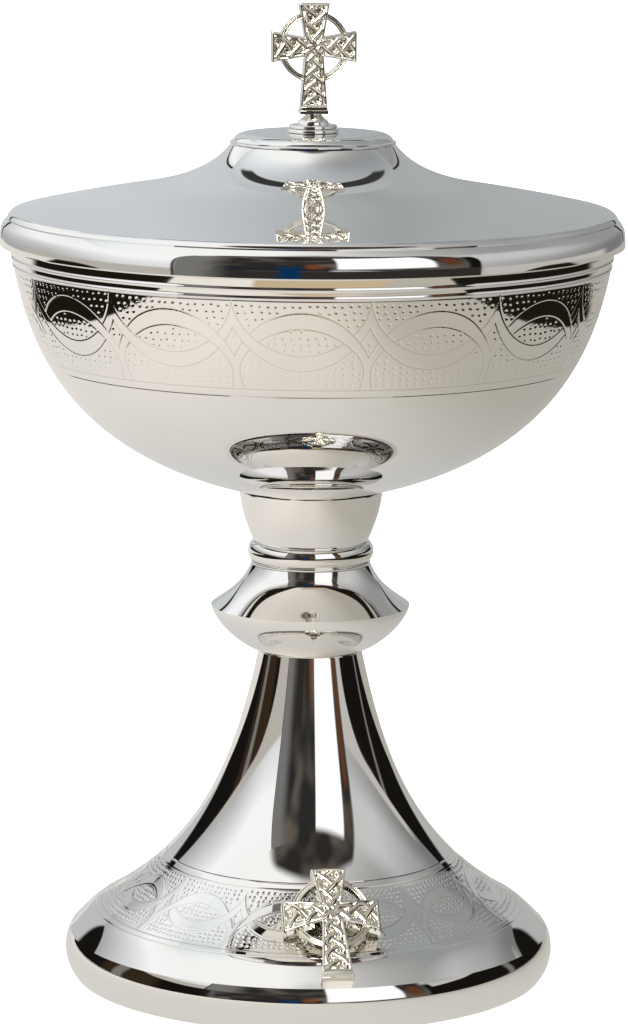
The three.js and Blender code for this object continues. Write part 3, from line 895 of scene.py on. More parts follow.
def turned_material(name, tint, roughness):
    """Unpolished turned metal with tool marks and a little dulling."""
    material, nodes, shader = metal(name)
    where = nodes.position()
    dull = nodes.noise(where, 140.0, 5.0, 0.6)
    shade_of = [channel * 0.72 for channel in tint]
    base = nodes.mix(nodes.ramp(dull, 0.4, 0.7), rgba(tint), rgba(shade_of))
    rough = nodes.ramp(dull, 0.3, 0.75, roughness * 0.8, roughness * 1.4)
    stretched = nodes.add("ShaderNodeMapping", {"Vector": where, "Scale": (1.0, 1.0, 14.0)})
    marks = nodes.noise(stretched.outputs[0], 300.0, 3.0)
    dress(nodes, shader, base, rough, nodes.bump(marks, 0.4, 0.05 * MM))
    return material


def material_named(name, finish):
    """A finish, made once."""
    found = bpy.data.materials.get(name)
    if found:
        return found
    if name == "bright_plate_spun":
        return plate_material(name, finish)
    if name == "bright_plate_engraved":
        return plate_material(name, finish, engraved=True)
    if name == "cast_plate":
        return cast_material(finish)
    if name == "brass_turned":
        return turned_material(name, tuple(finish.brass), 0.3)
    return turned_material(name, tuple(finish.steel), 0.28)


# Studio: what the metal mirrors
#
# A panel is a soft-edged patch. A row gives the bearings and the heights it lies between, its
# colour, and half the blur of its left, right, lower and upper edges. Bearings are degrees round
# the stem from the camera, positive to the right. Heights are metres on the tent, metres towards
# the camera on the floor, and degrees over the horizon in the room.

SOFT = (1.5, 1.5, 1.5, 1.5)
DARK = (0.008, 0.007, 0.006)
POST = (0.2, 0.19, 0.18)
BLUE = (0.003, 0.033, 0.1)
BLUE_SIDE = (-12, -4)
OPENING = ((-48, 58), (2, 71), (6, 2, 1, 3))
BESIDE_THE_TENT = {
    "dark on the left": ((-147, -46), (-20, 30), DARK, (1.5, 2, 1, 3)),
    "dark on the right": ((57, 147), (-20, 30), DARK, (2, 1.5, 1, 3)),
    "brown on the left": ((-112, -76), (-20, 30), (0.035, 0.022, 0.012), (4, 4, 1, 3)),
    "left post": ((-104, -97), (-20, 30), POST, SOFT),
    "right post": ((108, 112), (-20, 30), POST, SOFT),
}
IN_THE_OPENING = {
    "window": ((9, 45.5), (3, 49), (1.15, 1.16, 1.18), (0.8, 1.2, 1.5, 2)),
    "dark under it": ((-36, 7), (-1, 8), (0.02, 0.02, 0.025), (2, 2, 1, 2)),
    "blue": (BLUE_SIDE, (-9, 8), BLUE, (2.5, 2, 2, 5)),
    "orange": ((-2, 4), (4, 14), (0.2, 0.065, 0.025), (2, 2.5, 3, 5)),
    "brown": ((49, 55), (6, 30), (0.12, 0.045, 0.02), (1.5, 1.5, 3, 3)),
}
GAP_OVER_BACKDROP = ((150, 200), (43.5, 50.5), (0.04, 0.04, 0.04), (3, 1, 0.6, 0.6))
GAP_BESIDE_BACKDROP = ((147.6, 149.8), (0, 1), (0.02, 0.02, 0.02), (0.3, 0.3, 4 * MM, 4 * MM))


def facing(nodes, output, studio):
    """A place or a direction, turned to face the camera and split into X, Y and Z."""
    turned = {"Vector": nodes.position(output), "Rotation": (0, 0, studio.camera_turn)}
    faced = nodes.add("ShaderNodeMapping", turned).outputs[0]
    return nodes.add("ShaderNodeSeparateXYZ", {"Vector": faced}).outputs


def bearing(nodes, parts):
    """Degrees round the stem from the camera, positive to the right."""
    ahead = nodes.math("MULTIPLY", parts["Y"], -1.0)
    return nodes.math("DEGREES", nodes.math("ARCTAN2", parts["X"], ahead))


def soft_range(nodes, value, span, blur):
    """1 between two values and 0 outside them, with soft edges."""
    rising = nodes.ramp(value, span[0] - blur[0], span[0] + blur[0])
    falling = nodes.ramp(value, span[1] - blur[1], span[1] + blur[1], 1.0, 0.0)
    return nodes.math("MULTIPLY", rising, falling)


def patch(nodes, where, up, side, height, blur):
    """1 on a soft-edged patch and 0 round it."""
    across = soft_range(nodes, where, side, blur[:2])
    return nodes.math("MULTIPLY", across, soft_range(nodes, up, height, blur[2:]))


def panel(nodes, under, where, up, side, height, colour, blur):
    """Lays a panel over what is there."""
    return nodes.mix(patch(nodes, where, up, side, height, blur), under, rgba(colour))


def make_camera(scene, studio):
    """The photograph's camera."""
    data = bpy.data.cameras.new("camera")
    data.sensor_width = SENSOR
    data.lens = studio.focal_pixels / PICTURE_LONG_SIDE * SENSOR
    data.shift_x = studio.axis_offset / PICTURE_LONG_SIDE
    data.clip_start, data.clip_end = 0.05, 50
    camera = bpy.data.objects.new("camera", data)
    turn = studio.camera_turn
    away = (-math.sin(turn) * studio.camera_distance, -math.cos(turn) * studio.camera_distance)
    camera.matrix_world = (
        Matrix.Translation((*away, studio.camera_height))
        @ Matrix.Rotation(-turn, 4, "Z")
        @ Matrix.Rotation(math.pi / 2 - studio.camera_pitch, 4, "X")
        @ Matrix.Rotation(studio.camera_roll, 4, "Z")
    )
    scene.collection.objects.link(camera)
    scene.camera = camera


def stage_object(name, bm):
    """An object of the studio, which is no part of the ciborium."""
    mesh = bpy.data.meshes.new(name)
    bm.to_mesh(mesh)
    bm.free()
    made = bpy.data.objects.new(name, mesh)
    bpy.context.scene.collection.objects.link(made)
    material = bpy.data.materials.new(name)
    material.use_nodes = True
    mesh.materials.append(material)
    return made, Nodes(material.node_tree)


def make_floor(studio):
    """A pale floor. The metal mirrors a table of limited size, with a darker room round it.

    For the metal the floor glows, and the table's glow is painted light.
    """
    bm = bmesh.new()
    bmesh.ops.create_circle(bm, cap_ends=True, segments=96, radius=14)
    floor, nodes = stage_object("pale_floor", bm)
    floor.location.z = -0.2 * MM
    parts = facing(nodes, "Object", studio)
    aside = parts["X"]
    ahead = nodes.math("MULTIPLY", parts["Y"], -1.0)
    edge = 4 * MM
    # Painted light on the table: lit from the left, it is paler on the left, and in painted shade
    # it is darker on the right and darker and cooler at the back
    look = nodes.mix(nodes.ramp(ahead, -0.16, 0.26), rgba(studio.table_shaded_back), rgba(studio.table))
    look = nodes.mix(nodes.ramp(aside, -0.2, 0, 0.5, 0), look, rgba(studio.table_lit_left))
    look = nodes.mix(nodes.ramp(aside, -0.02, 0.2, 0, 0.75), look, rgba(studio.table_shaded_right))
    # Past its two sides and its front edge lies the floor of the room
    beside = nodes.math("ABSOLUTE", aside)
    beside = soft_range(nodes, beside, (studio.table_reach, 30), (edge, 1))
    beside = nodes.math("MULTIPLY", beside, nodes.ramp(ahead, -0.55, -0.42))
    look = nodes.mix(beside, look, rgba(studio.table_side))
    front = ((-0.16, 0.25), (studio.table_near, 3), studio.table_front, (0.01, 0.01, edge, 1))
    look = panel(nodes, look, aside, ahead, *front)
    look = nodes.mix(nodes.ramp(ahead, 0.55, 0.75), look, rgba(studio.table_far))
    blue = (BLUE_SIDE, (0.7, 15), BLUE, (2.5, 2, 0.1, 1))
    look = panel(nodes, look, bearing(nodes, parts), ahead, *blue)
    white = nodes.add("ShaderNodeAddShader")
    nodes.feed(white.inputs[0], nodes.glow(WHITE, 0.72))
    matt = nodes.add("ShaderNodeBsdfDiffuse", {"Color": (0.8, 0.8, 0.8, 1)})
    nodes.feed(white.inputs[1], matt.outputs[0])
    # For the eye the floor is an even white glow over matt white; for other rays it glows with the
    # painted table and the room
    surface = nodes.choose(nodes.ray("Is Camera Ray"), nodes.glow(look), white.outputs[0])
    nodes.finish("ShaderNodeOutputMaterial", surface)


def make_tent(studio):
    """Cloth screens round the object, open at the front and seen only in the metal.

    They glow with painted light, as lit cloth.
    """
    foot, top, radius = studio.tent_foot, studio.tent_top, studio.tent_radius
    lowest = foot - 60 * MM
    bm = bmesh.new()
    bmesh.ops.create_cone(
        bm, cap_ends=False, segments=128, radius1=radius, radius2=radius, depth=top - lowest,
        matrix=Matrix.Translation((0, 0, (top + lowest) / 2)),
    )
    for face in bm.faces:
        face.smooth = True
    tent, nodes = stage_object("light_tent", bm)
    tent.visible_camera = tent.visible_diffuse = tent.visible_shadow = False
    parts = facing(nodes, "Object", studio)
    where = bearing(nodes, parts)
    around = nodes.math("ABSOLUTE", where)
    aside, up = parts["X"], parts["Z"]

    # Left screen: painted light, brighter towards its top and its front edge
    at_back = nodes.ramp(up, 110 * MM, 330 * MM, 0.27, 1.05, smooth=False)
    at_front = nodes.ramp(up, 80 * MM, 270 * MM, 0.45, 1.1, smooth=False)
    level = nodes.between(nodes.ramp(where, -105, -60), at_back, at_front)
    left = nodes.tinted(level, (1.0, 1.02, 1.04))
    # Right screen: in shade, darker towards the back
    low = nodes.ramp(where, 60, 125, 0.42, 0.2, smooth=False)
    high = nodes.ramp(where, 75, 130, 0.6, 0.31)
    level = nodes.between(nodes.ramp(up, 165 * MM, 250 * MM), low, high)
    right = nodes.tinted(level, (1.0, 1.01, 1.02))
    look = nodes.mix(nodes.math("GREATER_THAN", where, 0.0), left, right)
    # Backdrop, split in a lighter left half and a darker right one
    split = nodes.ramp(aside, -75 * MM, 40 * MM, smooth=False)
    backdrop = nodes.mix(split, (0.62, 0.655, 0.685, 1), (0.365, 0.385, 0.395, 1))
    split = nodes.ramp(aside, 35 * MM, 85 * MM)
    backdrop = nodes.mix(split, backdrop, (0.42, 0.445, 0.455, 1))
    look = nodes.mix(nodes.ramp(around, 142, 152), look, backdrop)
    look = panel(nodes, look, around, up, *GAP_BESIDE_BACKDROP)
    # The screens fade into the light over them
    over = nodes.math("MULTIPLY_ADD", aside, -1.03, 0.71)
    over = nodes.tinted(nodes.math("MULTIPLY_ADD", parts["Y"], -0.5, over), (0.99, 1.0, 1.0))
    fade = nodes.ramp(up, 330 * MM, top)
    fade = nodes.math("MULTIPLY", fade, nodes.ramp(around, 120, 146, 1.0, 0.0))
    look = nodes.mix(fade, look, over)
    # Pale hems, and the dull post at the front edge of the left screen
    hem, whole = (0, foot + 18 * MM), (0, 1)
    soft = (4 * MM, 4 * MM)
    for side, height, tint, blur in (
        ((-118, -40), hem, (0.5, 0.475, 0.43), (4, 2)),
        ((57, 122), hem, (0.55, 0.53, 0.5), (2, 4)),
        ((-46.4, -45.2), whole, (0.03, 0.03, 0.03), (0.4, 0.4)),
        ((-45.2, 0), whole, (0.19, 0.185, 0.18), (0.4, 1)),
    ):
        look = panel(nodes, look, where, up, side, height, tint, blur + soft)

    # The cloth hangs lower towards the front
    hang = nodes.ramp(around, 50, 88, foot - 38 * MM, foot)
    cloth = nodes.ramp(nodes.math("SUBTRACT", up, hang), -2 * MM, 2 * MM)
    opening = soft_range(nodes, where, (-32, 56.5), (7, 0.6))
    shown = nodes.math("MULTIPLY", cloth, nodes.math("SUBTRACT", 1.0, opening))
    clear = nodes.add("ShaderNodeBsdfTransparent").outputs[0]
    # The screens glow with the painted light and shade of the cloth
    nodes.finish("ShaderNodeOutputMaterial", nodes.choose(shown, clear, nodes.glow(look)))


def make_lamp(scene, studio):
    """A soft lamp in front, up and to the left, that lights only the cast crosses."""
    light = bpy.data.lights.new("soft_lamp", "AREA")
    light.shape = "DISK"
    light.size = studio.lamp_size
    light.energy = studio.lamp_power
    lamp = bpy.data.objects.new("soft_lamp", light)
    scene.collection.objects.link(lamp)
    lamp.location = studio.lamp_place
    aim = Vector((0, 0, studio.lamp_aim)) - lamp.location
    lamp.rotation_euler = aim.to_track_quat("-Z", "Y").to_euler()
    lamp.visible_camera = False
    cast_work = bpy.data.collections.new("cast_work")
    for name in ("finial_ringed_cross", "foot_ringed_cross"):
        cast_work.objects.link(bpy.data.objects[name])
    lamp.light_linking.receiver_collection = cast_work


def make_world(scene, studio):
    """White for the eye, and for the metal the room over, beside and in front of the tent."""
    world = bpy.data.worlds.new("studio")
    scene.world = world
    world.use_nodes = True
    nodes = Nodes(world.node_tree)
    parts = facing(nodes, "Generated", studio)
    aside, away = parts["X"], parts["Y"]
    where = bearing(nodes, parts)
    up = nodes.math("DEGREES", nodes.math("ARCSINE", parts["Z"]))

    # Light from over the tent is bluish: brightest on the left, faintest on the right
    slant = nodes.math("ADD", nodes.squares(aside, away), 0.02)
    slant = nodes.math("DIVIDE", 1.0, nodes.math("SQRT", slant))
    level = nodes.math("MULTIPLY_ADD", away, -0.17, nodes.math("MULTIPLY", aside, -0.35))
    level = nodes.math("ADD", nodes.math("MULTIPLY", slant, level), 0.71)
    tint = nodes.mix(nodes.ramp(away, -0.1, 0.35), (1.0, 1.0, 0.99, 1), (0.94, 1.0, 1.045, 1))
    overhead = nodes.mix(level, BLACK, tint)
    low = nodes.ramp(aside, -0.2, 0.2)
    low = nodes.mix(low, (0.54, 0.55, 0.56, 1), (0.47, 0.475, 0.48, 1))
    look = nodes.mix(nodes.ramp(up, 25, 48), low, overhead)
    for row in BESIDE_THE_TENT.values():
        look = panel(nodes, look, where, up, *row)

    # The dim room in the tent's arched opening, with a soft haze in it
    arched = nodes.math("MULTIPLY_ADD", nodes.math("MULTIPLY", where, where), 0.0042, up)
    inside = patch(nodes, where, arched, *OPENING)
    look = nodes.mix(inside, look, (0.026, 0.025, 0.023, 1))
    haze = nodes.ramp(nodes.noise(nodes.position("Generated"), 3.5, 1.0), 0.38, 0.72, 0.0, 0.85)
    look = nodes.mix(nodes.math("MULTIPLY", inside, haze), look, (0.15, 0.125, 0.105, 1))
    for row in IN_THE_OPENING.values():
        look = panel(nodes, look, where, up, *row)
    look = panel(nodes, look, nodes.math("ABSOLUTE", where), up, *GAP_OVER_BACKDROP)

    seen = nodes.mix(nodes.ray("Is Diffuse Ray"), look, (1.25, 1.25, 1.25, 1))
    seen = nodes.mix(nodes.ray("Is Camera Ray"), seen, WHITE)
    background = nodes.add("ShaderNodeBackground", {"Color": seen, "Strength": 1.0})
    nodes.finish("ShaderNodeOutputWorld", background.outputs[0])


# Operators


class CIBORIUM_OT_stage(bpy.types.Operator):
    """Makes the pale floor, the studio round it, the lamp and the camera"""

    bl_idname = "ciborium.stage"
    bl_label = "Stage"

    def execute(self, context):
        studio = context.scene.ciborium_studio
        context.scene.view_settings.view_transform = "Standard"
        make_camera(context.scene, studio)
        make_floor(studio)
        make_tent(studio)
        make_lamp(context.scene, studio)
        make_world(context.scene, studio)
        return {"FINISHED"}


class CIBORIUM_OT_foot(bpy.types.Operator):
    """Makes the trumpet foot and its engraved band"""

    bl_idname = "ciborium.foot"
    bl_label = "Foot"

    def execute(self, context):
        sizes = context.scene.ciborium_sizes
        ornament = context.scene.ciborium_ornament
        finish = context.scene.ciborium_finish
        wall = sizes.wall
        crease = (sizes.foot_crease_radius, sizes.foot_crease_height)
        rim = sweep((sizes.foot_base_radius, 0), 50, 0.36, crease, 120, 0.36, 20)
        line = foot_line(sizes)
        low, high = band_ends(line, ornament, "foot")
        full = distances(line)[-1]
        outer = seated(line, low, high, full, ornament, pitch=0.7 * MM)
        top = sizes.foot_height
        inner = pushed(joined(rim, along(line, 0, full, 1.2 * MM)), -wall)
        inner = inner[(inner[:, 1] > 0) & (inner[:, 1] < top - wall)]
        base = (sizes.foot_base_radius - wall * 0.8, 0)
        bore = sizes.stem_bore
        under = [(bore, top), (bore, top - wall), (inner[-1, 0], top - wall)]
        profile = joined(rim, outer, under, inner[::-1], [base])
        plate = material_named("bright_plate_spun", finish)
        spun_piece("foot_body", profile, plate, "vessel", "foot_shell", steps=288)
        engraved_band("foot", line, -math.pi / 2, ornament, finish, "foot_shell")
        return {"FINISHED"}


def band_ends(line, ornament, kind):
    """Lengths along a line at which a band begins and ends."""
    run = length_at_height(line, getattr(ornament, f"{kind}_band_height"))
    below, over = (getattr(ornament, f"{kind}_band_{way}") for way in ("below", "above"))
    return run - below, run + over


def seated(line, low, high, end, ornament, pitch):
    """An outer line with a shallow seat for a band between two lengths along it."""
    broken, tick = 0.14 * MM, 0.01 * MM
    seat = pushed(along(line, low, high, 1.0 * MM), -ornament.seat_depth)
    below = along(line, 0, low - broken, pitch)
    over = along(line, high + broken, end, pitch)
    edge_low = pushed(along(line, low - tick, low, 1), -ornament.line_depth)[-1:]
    edge_high = pushed(along(line, high, high + tick, 1), -ornament.line_depth)[:1]
    return joined(below, edge_low, seat, edge_high, over)


class CIBORIUM_OT_stem(bpy.types.Operator):
    """Makes the knop's two halves, the bead ring and the calyx"""

    bl_idname = "ciborium.stem"
    bl_label = "Stem"

    def execute(self, context):
        sizes = context.scene.ciborium_sizes
        plate = material_named("bright_plate_spun", context.scene.ciborium_finish)
        wall = sizes.wall
        bore = sizes.stem_bore
        seat = (sizes.knop_base_radius, sizes.foot_height + sizes.knop_seat_height)
        edge = (sizes.knop_edge_radius, sizes.knop_edge_height)
        under = sweep(seat, 18, 0.31, edge, 80, 0.26, 40)
        inner = above(pushed(under, -wall), seat[1] + wall)[::-1]
        low, disc = sizes.foot_height, sizes.knop_seat_radius
        stand = [(bore, low), (disc, low), (disc, seat[1])]
        lower = joined(stand, under, [(inner[0, 0], edge[1])], inner, [(bore, seat[1] + wall)])
        spun_piece("knop_underside", lower, plate, "vessel", "knop_lower")
        top = (sizes.knop_top_radius, sizes.knop_top)
        flare = sweep(edge, 146, 0.4, top, 112, 0.38, 40)
        inner = pushed(flare, -wall)
        ceiling = top[1] - wall
        inner = inner[(inner[:, 1] > edge[1]) & (inner[:, 1] < ceiling)][::-1]
        shelf = [(bore, top[1]), (bore, ceiling), (inner[0, 0], ceiling)]
        upper = joined(flare, shelf, inner, [(inner[-1, 0], edge[1])])
        spun_piece("knop_flare", upper, plate, "vessel", "knop_upper")
        ring = joined([(bore, sizes.knop_top)], bead_ring_side(sizes), [(bore, sizes.ring_top)])
        spun_piece("bead_collar", ring, plate, "vessel", "bead_ring", sharp=25)
        base = (sizes.calyx_base_radius, sizes.ring_top)
        rim = (sizes.calyx_rim_radius, sizes.calyx_top)
        lip = (rim[0], rim[1] - 0.3 * MM)
        side = joined(sweep(base, 67, 0.36, lip, 84, 0.39, 40), [rim])
        inner = above(pushed(side, -wall), sizes.ring_top + wall)[::-1]
        inner = np.vstack([[(inner[0, 0], sizes.calyx_top)], inner[1:]])
        cup = joined([(bore, sizes.ring_top)], side, inner, [(bore, sizes.ring_top + wall)])
        spun_piece("calyx", cup, plate, "vessel", "calyx_cup")
        return {"FINISHED"}


def bead_ring_side(sizes):
    """The rounded ring with a thin fillet under it and a narrow one over it."""
    low, top = sizes.knop_top, sizes.ring_top
    neck, wide = sizes.ring_neck_radius, sizes.ring_radius
    fillet, slight = 0.9 * MM, 0.1 * MM
    under = sweep((neck, low), 20, 0.4, (neck + slight, low + fillet), 160, 0.4, 8)
    bead_end = (neck - slight, top - 0.5 * MM)
    bead = sweep((neck, low + fillet), 15, 0.75, bead_end, 165, 0.75, 40)
    stretch = (wide - neck) / (bead[:, 0].max() - neck)
    bead[:, 0] = neck + (bead[:, 0] - neck) * stretch
    over = sweep(bead_end, 60, 0.4, (neck - 2 * slight, top), 120, 0.4, 6)
    return joined(under, bead, over)


class CIBORIUM_OT_bowl(bpy.types.Operator):
    """Makes the bowl and its engraved band"""

    bl_idname = "ciborium.bowl"
    bl_label = "Bowl"

    def execute(self, context):
        sizes = context.scene.ciborium_sizes
        ornament = context.scene.ciborium_ornament
        finish = context.scene.ciborium_finish
        line = bowl_line(sizes)
        low, high = band_ends(line, ornament, "bowl")
        full = distances(line)[-1]
        plain = 0.15 * MM
        body = seated(line, low, high, high + plain, ornament, pitch=0.8 * MM)
        fine = 0.08 * MM
        beaded = along(line, high + plain, full, fine)
        rise = distances(beaded) + plain + ornament.bowl_band_above
        lift = np.zeros(len(beaded))
        for centre in (ornament.bead_low, ornament.bead_high):
            off = np.clip(np.abs(rise - centre) / ornament.bead_reach, 0, 1)
            lift += ornament.bead_height * (0.5 + 0.5 * np.cos(math.pi * off))
        beaded = pushed(beaded, lift)
        floor = sizes.calyx_top + sizes.wall
        inner = pushed(along(line, 0, full, 1 * MM), -sizes.wall)
        inner = inner[inner[:, 1] > floor][::-1]
        rim = (sizes.bowl_rim_radius, sizes.bowl_rim)
        lip = sweep(rim, 90, 0, (inner[0, 0], sizes.bowl_rim), 270, 0, 2)
        well = [(inner[-1, 0] - 1 * MM, floor), (0, floor)]
        profile = joined([(0, sizes.calyx_top)], body, beaded, lip, inner[1:], well)
        plate = material_named("bright_plate_spun", finish)
        spun_piece("bowl_body", profile, plate, "vessel", "bowl", steps=320, closed=False, sharp=25)
        spike_angle = ornament.bowl_spike_angle - math.pi / 2
        engraved_band("bowl", line, spike_angle, ornament, finish, "bowl")
        return {"FINISHED"}


class CIBORIUM_OT_lid(bpy.types.Operator):
    """Makes the lid, its flange and the pedestal on it"""

    bl_idname = "ciborium.lid"
    bl_label = "Lid"

    def execute(self, context):
        sizes = context.scene.ciborium_sizes
        plate = material_named("bright_plate_spun", context.scene.ciborium_finish)
        wall = sizes.wall
        step = (sizes.lid_step_radius, sizes.lid_step_height)
        lip = (sizes.lid_rim_radius - sizes.lid_lip_inset, sizes.lid_lip)
        rim = lid_rim(sizes)
        flare = lid_flare(sizes, rim[-1])
        bead = (step[0] - 0.05 * MM, step[1] + 0.3 * MM)
        plate_edge = joined(
            sweep(flare[-1], 62, 0.6, bead, 150, 0.6, 8),
            sweep(bead, 118, 0.3, (sizes.lid_plate_radius, sizes.lid_top), 177, 0.45, 24),
        )
        inner = pushed(joined(rim, along(flare, 0, distances(flare)[-1], 1 * MM)), -wall)
        inner = inner[(inner[:, 1] > sizes.lid_lip) & (inner[:, 1] < step[1] - 0.4 * wall)][::-1]
        bore, high, ceiling = sizes.stud_bore, sizes.lid_top, sizes.lid_top - wall
        middle = [(bore, high), (bore, ceiling), (sizes.lid_plate_radius, ceiling)]
        foot = [(inner[-1, 0], sizes.lid_lip)]
        profile = joined([lip], rim, flare, plate_edge, middle, inner, foot)
        spun_piece("lid_spun", profile, plate, "lid", "lid_shell", steps=320)
        seat, radius, flange = sizes.bowl_rim, sizes.skirt_radius, sizes.flange_radius
        low = sizes.skirt_bottom + 0.4 * MM
        rounded = sweep((radius - wall, low), -90, 0.55, (radius, low), 90, 0.55, 16)
        over = seat + wall
        ledge = [(radius, seat), (flange, seat), (flange, over), (radius - wall, over)]
        skirt = joined(rounded, ledge)
        spun_piece("lid_skirt", skirt, plate, "lid", "lid_flange", sharp=25)
        stand = pedestal_profile(sizes)
        spun_piece("pedestal", stand, plate, "lid", "finial_pedestal", steps=128, sharp=25)
        return {"FINISHED"}


def lid_rim(sizes):
    """The rim's side, its turn and the small step up to the flare."""
    low = (sizes.lid_rim_radius, sizes.lid_rim_low)
    turn = (sizes.lid_turn_radius, sizes.lid_turn_height)
    crease = (sizes.lid_crease_radius, sizes.lid_crease_height)
    over = (crease[0] - 0.03 * MM, crease[1] + sizes.lid_crease_step)
    return joined(
        sweep(low, 89, 0.5, turn, 128, 0.2, 24),
        sweep(turn, 128, 0.3, crease, 136, 0.3, 8),
        sweep(crease, 100, 0.4, over, 100, 0.4, 3),
    )


def lid_flare(sizes, foot):
    """The rolled edge over the crease, the long shallow slope and the rise to the plate."""
    edge = (sizes.lid_edge_radius, sizes.lid_edge_height)
    dip = (sizes.lid_slope_radius, sizes.lid_slope_height)
    top = (sizes.lid_step_radius + 0.45 * MM, sizes.lid_step_height - 0.65 * MM)
    return joined(
        sweep(foot, 130, 0.33, edge, 166.3, 0.4, 14),
        sweep(edge, 166.3, 0.15, dip, 170.3, 0.45, 30),
        sweep(dip, 170.3, 0.36, top, 126, 0.3, 80),
    )


def pedestal_profile(sizes):
    """Two stacked rounded rings and a small dome that carries the finial."""
    low = sizes.lid_top
    mid = low + 1.0 * MM
    dome = mid + 0.9 * MM
    neck = sizes.pedestal_neck_radius
    first, second = sizes.pedestal_radius, sizes.pedestal_step_radius
    cut = 0.45 * MM
    lower = sweep((first - cut, low), 0, 0.75, (first - cut, mid), 180, 0.75, 16)
    upper = sweep((second - cut, mid), 0, 0.75, (second - cut, dome), 180, 0.75, 16)
    top, bore = sizes.pedestal_top, sizes.stud_bore
    shoulder = (neck, top - 0.35 * MM)
    side = sweep((sizes.pedestal_dome_radius, dome), 88, 0.42, shoulder, 122, 0.35, 20)
    lip = sweep(shoulder, 80, 0.4, (neck, top), 100, 0.4, 4)
    return joined([(bore, low)], lower, upper, side, lip, [(bore, top)])


class CIBORIUM_OT_crosses(bpy.types.Operator):
    """Makes the finial and the cross on the foot"""

    bl_idname = "ciborium.crosses"
    bl_label = "Crosses"

    def execute(self, context):
        sizes = context.scene.ciborium_sizes
        ornament = context.scene.ciborium_ornament
        cast = material_named("cast_plate", context.scene.ciborium_finish)
        upright = Matrix.Rotation(math.pi / 2, 4, "X")
        upright = Matrix.Translation((0, 0, sizes.pedestal_top)) @ upright
        finial = ringed_cross(ornament, 1.0, True)
        bmesh.ops.transform(finial, matrix=upright, verts=finial.verts)
        place("finial_ringed_cross", finial, cast, "lid", "cast_plate", "finial_cross")

        thickness = ornament.foot_cross_thickness
        scale = ornament.foot_cross_scale
        onlay = ringed_cross(ornament, scale, False, thickness / scale / ornament.cross_thickness)
        lift = ornament.foot_cross_stand - thickness / 2
        bmesh.ops.translate(onlay, vec=(0, 0, lift), verts=onlay.verts)
        arm = ornament.cross_side * scale
        for vert in onlay.verts:
            vert.co.z -= ornament.foot_cross_bend * (vert.co.x / arm) ** 2
        lean = foot_lean(sizes, ornament)
        add_pegs(onlay, ornament, lean)
        bmesh.ops.transform(onlay, matrix=lean, verts=onlay.verts)
        seat_on_foot(onlay, sizes, lean)
        place("foot_ringed_cross", onlay, cast, "vessel", "cast_plate", "foot_cross")
        return {"FINISHED"}


def foot_lean(sizes, ornament):
    """Where the foot's cross stands: its heel over the crease, a little steeper than the foot."""
    line = foot_line(sizes)
    reach = ornament.cross_plinth_height + ornament.cross_shaft + ornament.cross_upper
    reach *= ornament.foot_cross_scale
    far = np.linalg.norm(line - line[0], axis=1)
    end = line[int(np.argmax(far >= reach))]
    chord = Vector(end - line[0]).normalized()
    chord.rotate(Matrix.Rotation(-ornament.foot_cross_tilt, 2))
    heel = line[0] + (-ornament.foot_cross_inset, ornament.foot_cross_rise)
    back = (0, -chord.x, -chord.y, -heel[0])
    rise = (0, chord.y, -chord.x, heel[1])
    return Matrix(((1, 0, 0, 0), back, rise, (0, 0, 0, 1)))


def seat_on_foot(bm, sizes, lean):
    """Lifts what would lie in the foot until it clears it by the seat's gap, but for the pegs."""
    line = foot_line(sizes)
    out = np.array((lean.to_3x3() @ Vector((0, 0, 1))).normalized())
    peg = bm.verts.layers.int["peg"]
    verts = [vert for vert in bm.verts if not vert[peg]]
    places = np.array([vert.co for vert in verts])

    def clear(lift):
        """Which points are outside the foot once lifted."""
        spots = places + lift[:, None] * out
        radius = np.hypot(spots[:, 0], spots[:, 1])
        return radius >= np.interp(spots[:, 2], line[:, 1], line[:, 0]) + SEAT_GAP

    short = np.zeros(len(verts))
    enough = np.where(clear(short), 0, 8 * MM)
    halvings = 24
    for _ in range(halvings):
        middle = (short + enough) / 2
        free = clear(middle)
        enough = np.where(free, middle, enough)
        short = np.where(free, short, middle)
    for vert, lift in zip(verts, enough):
        vert.co += Vector(out * lift)


def add_pegs(bm, ornament, lean):
    """Two round pegs on the back of the foot's cross, each long enough for its nut."""
    peg = bm.verts.layers.int["peg"]
    back = lean.inverted()
    for node in ("foot_cross_nut_upper", "foot_cross_nut_lower"):
        low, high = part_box(node)
        centre = back @ ((low + high) / 2)
        radius, start, end = 1.2 * MM, 0.2 * MM, centre.z - 1.4 * MM
        made = bmesh.ops.create_cone(
            bm, cap_ends=True, segments=32, radius1=radius, radius2=radius, depth=start - end,
            matrix=Matrix.Translation((0, centre.y, (start + end) / 2)),
        )
        for vert in made["verts"]:
            vert[peg] = 1


# Upper arm, right arm, left arm and shaft: faces along each, and turns of its plait
LIMB_PARTS = (2, 2, 2, 3)
PLAIT_TURNS = (0.85, 0.85, 0.85, 1.35)
SLOPE = 0.22 * MM
ROUNDING = 0.18 * MM
STRAND_LOW, STRAND_OVER, STRAND_SKIN = 0.6 * MM, 0.35 * MM, 0.02 * MM


def cross_outline(ornament):
    """Corners of the arms and the shaft, with the crossing at the origin."""
    root = ornament.cross_root / 2
    end = ornament.cross_end / 2
    foot = ornament.cross_foot / 2
    side, up = ornament.cross_side, ornament.cross_upper
    down = ornament.cross_shaft
    return [
        (-foot, -down), (foot, -down), (root, -root), (side, -end), (side, end), (root, root),
        (end, up), (-end, up), (-root, root), (-side, end), (-side, -end), (-root, -root),
    ]


def limbs(ornament):
    """The cross's limbs: which way each points, its reach and half the width of its end."""
    end, foot = ornament.cross_end / 2, ornament.cross_foot / 2
    return (
        ((0, 1), ornament.cross_upper, end),
        ((1, 0), ornament.cross_side, end),
        ((-1, 0), ornament.cross_side, end),
        ((0, -1), ornament.cross_shaft, foot),
    )


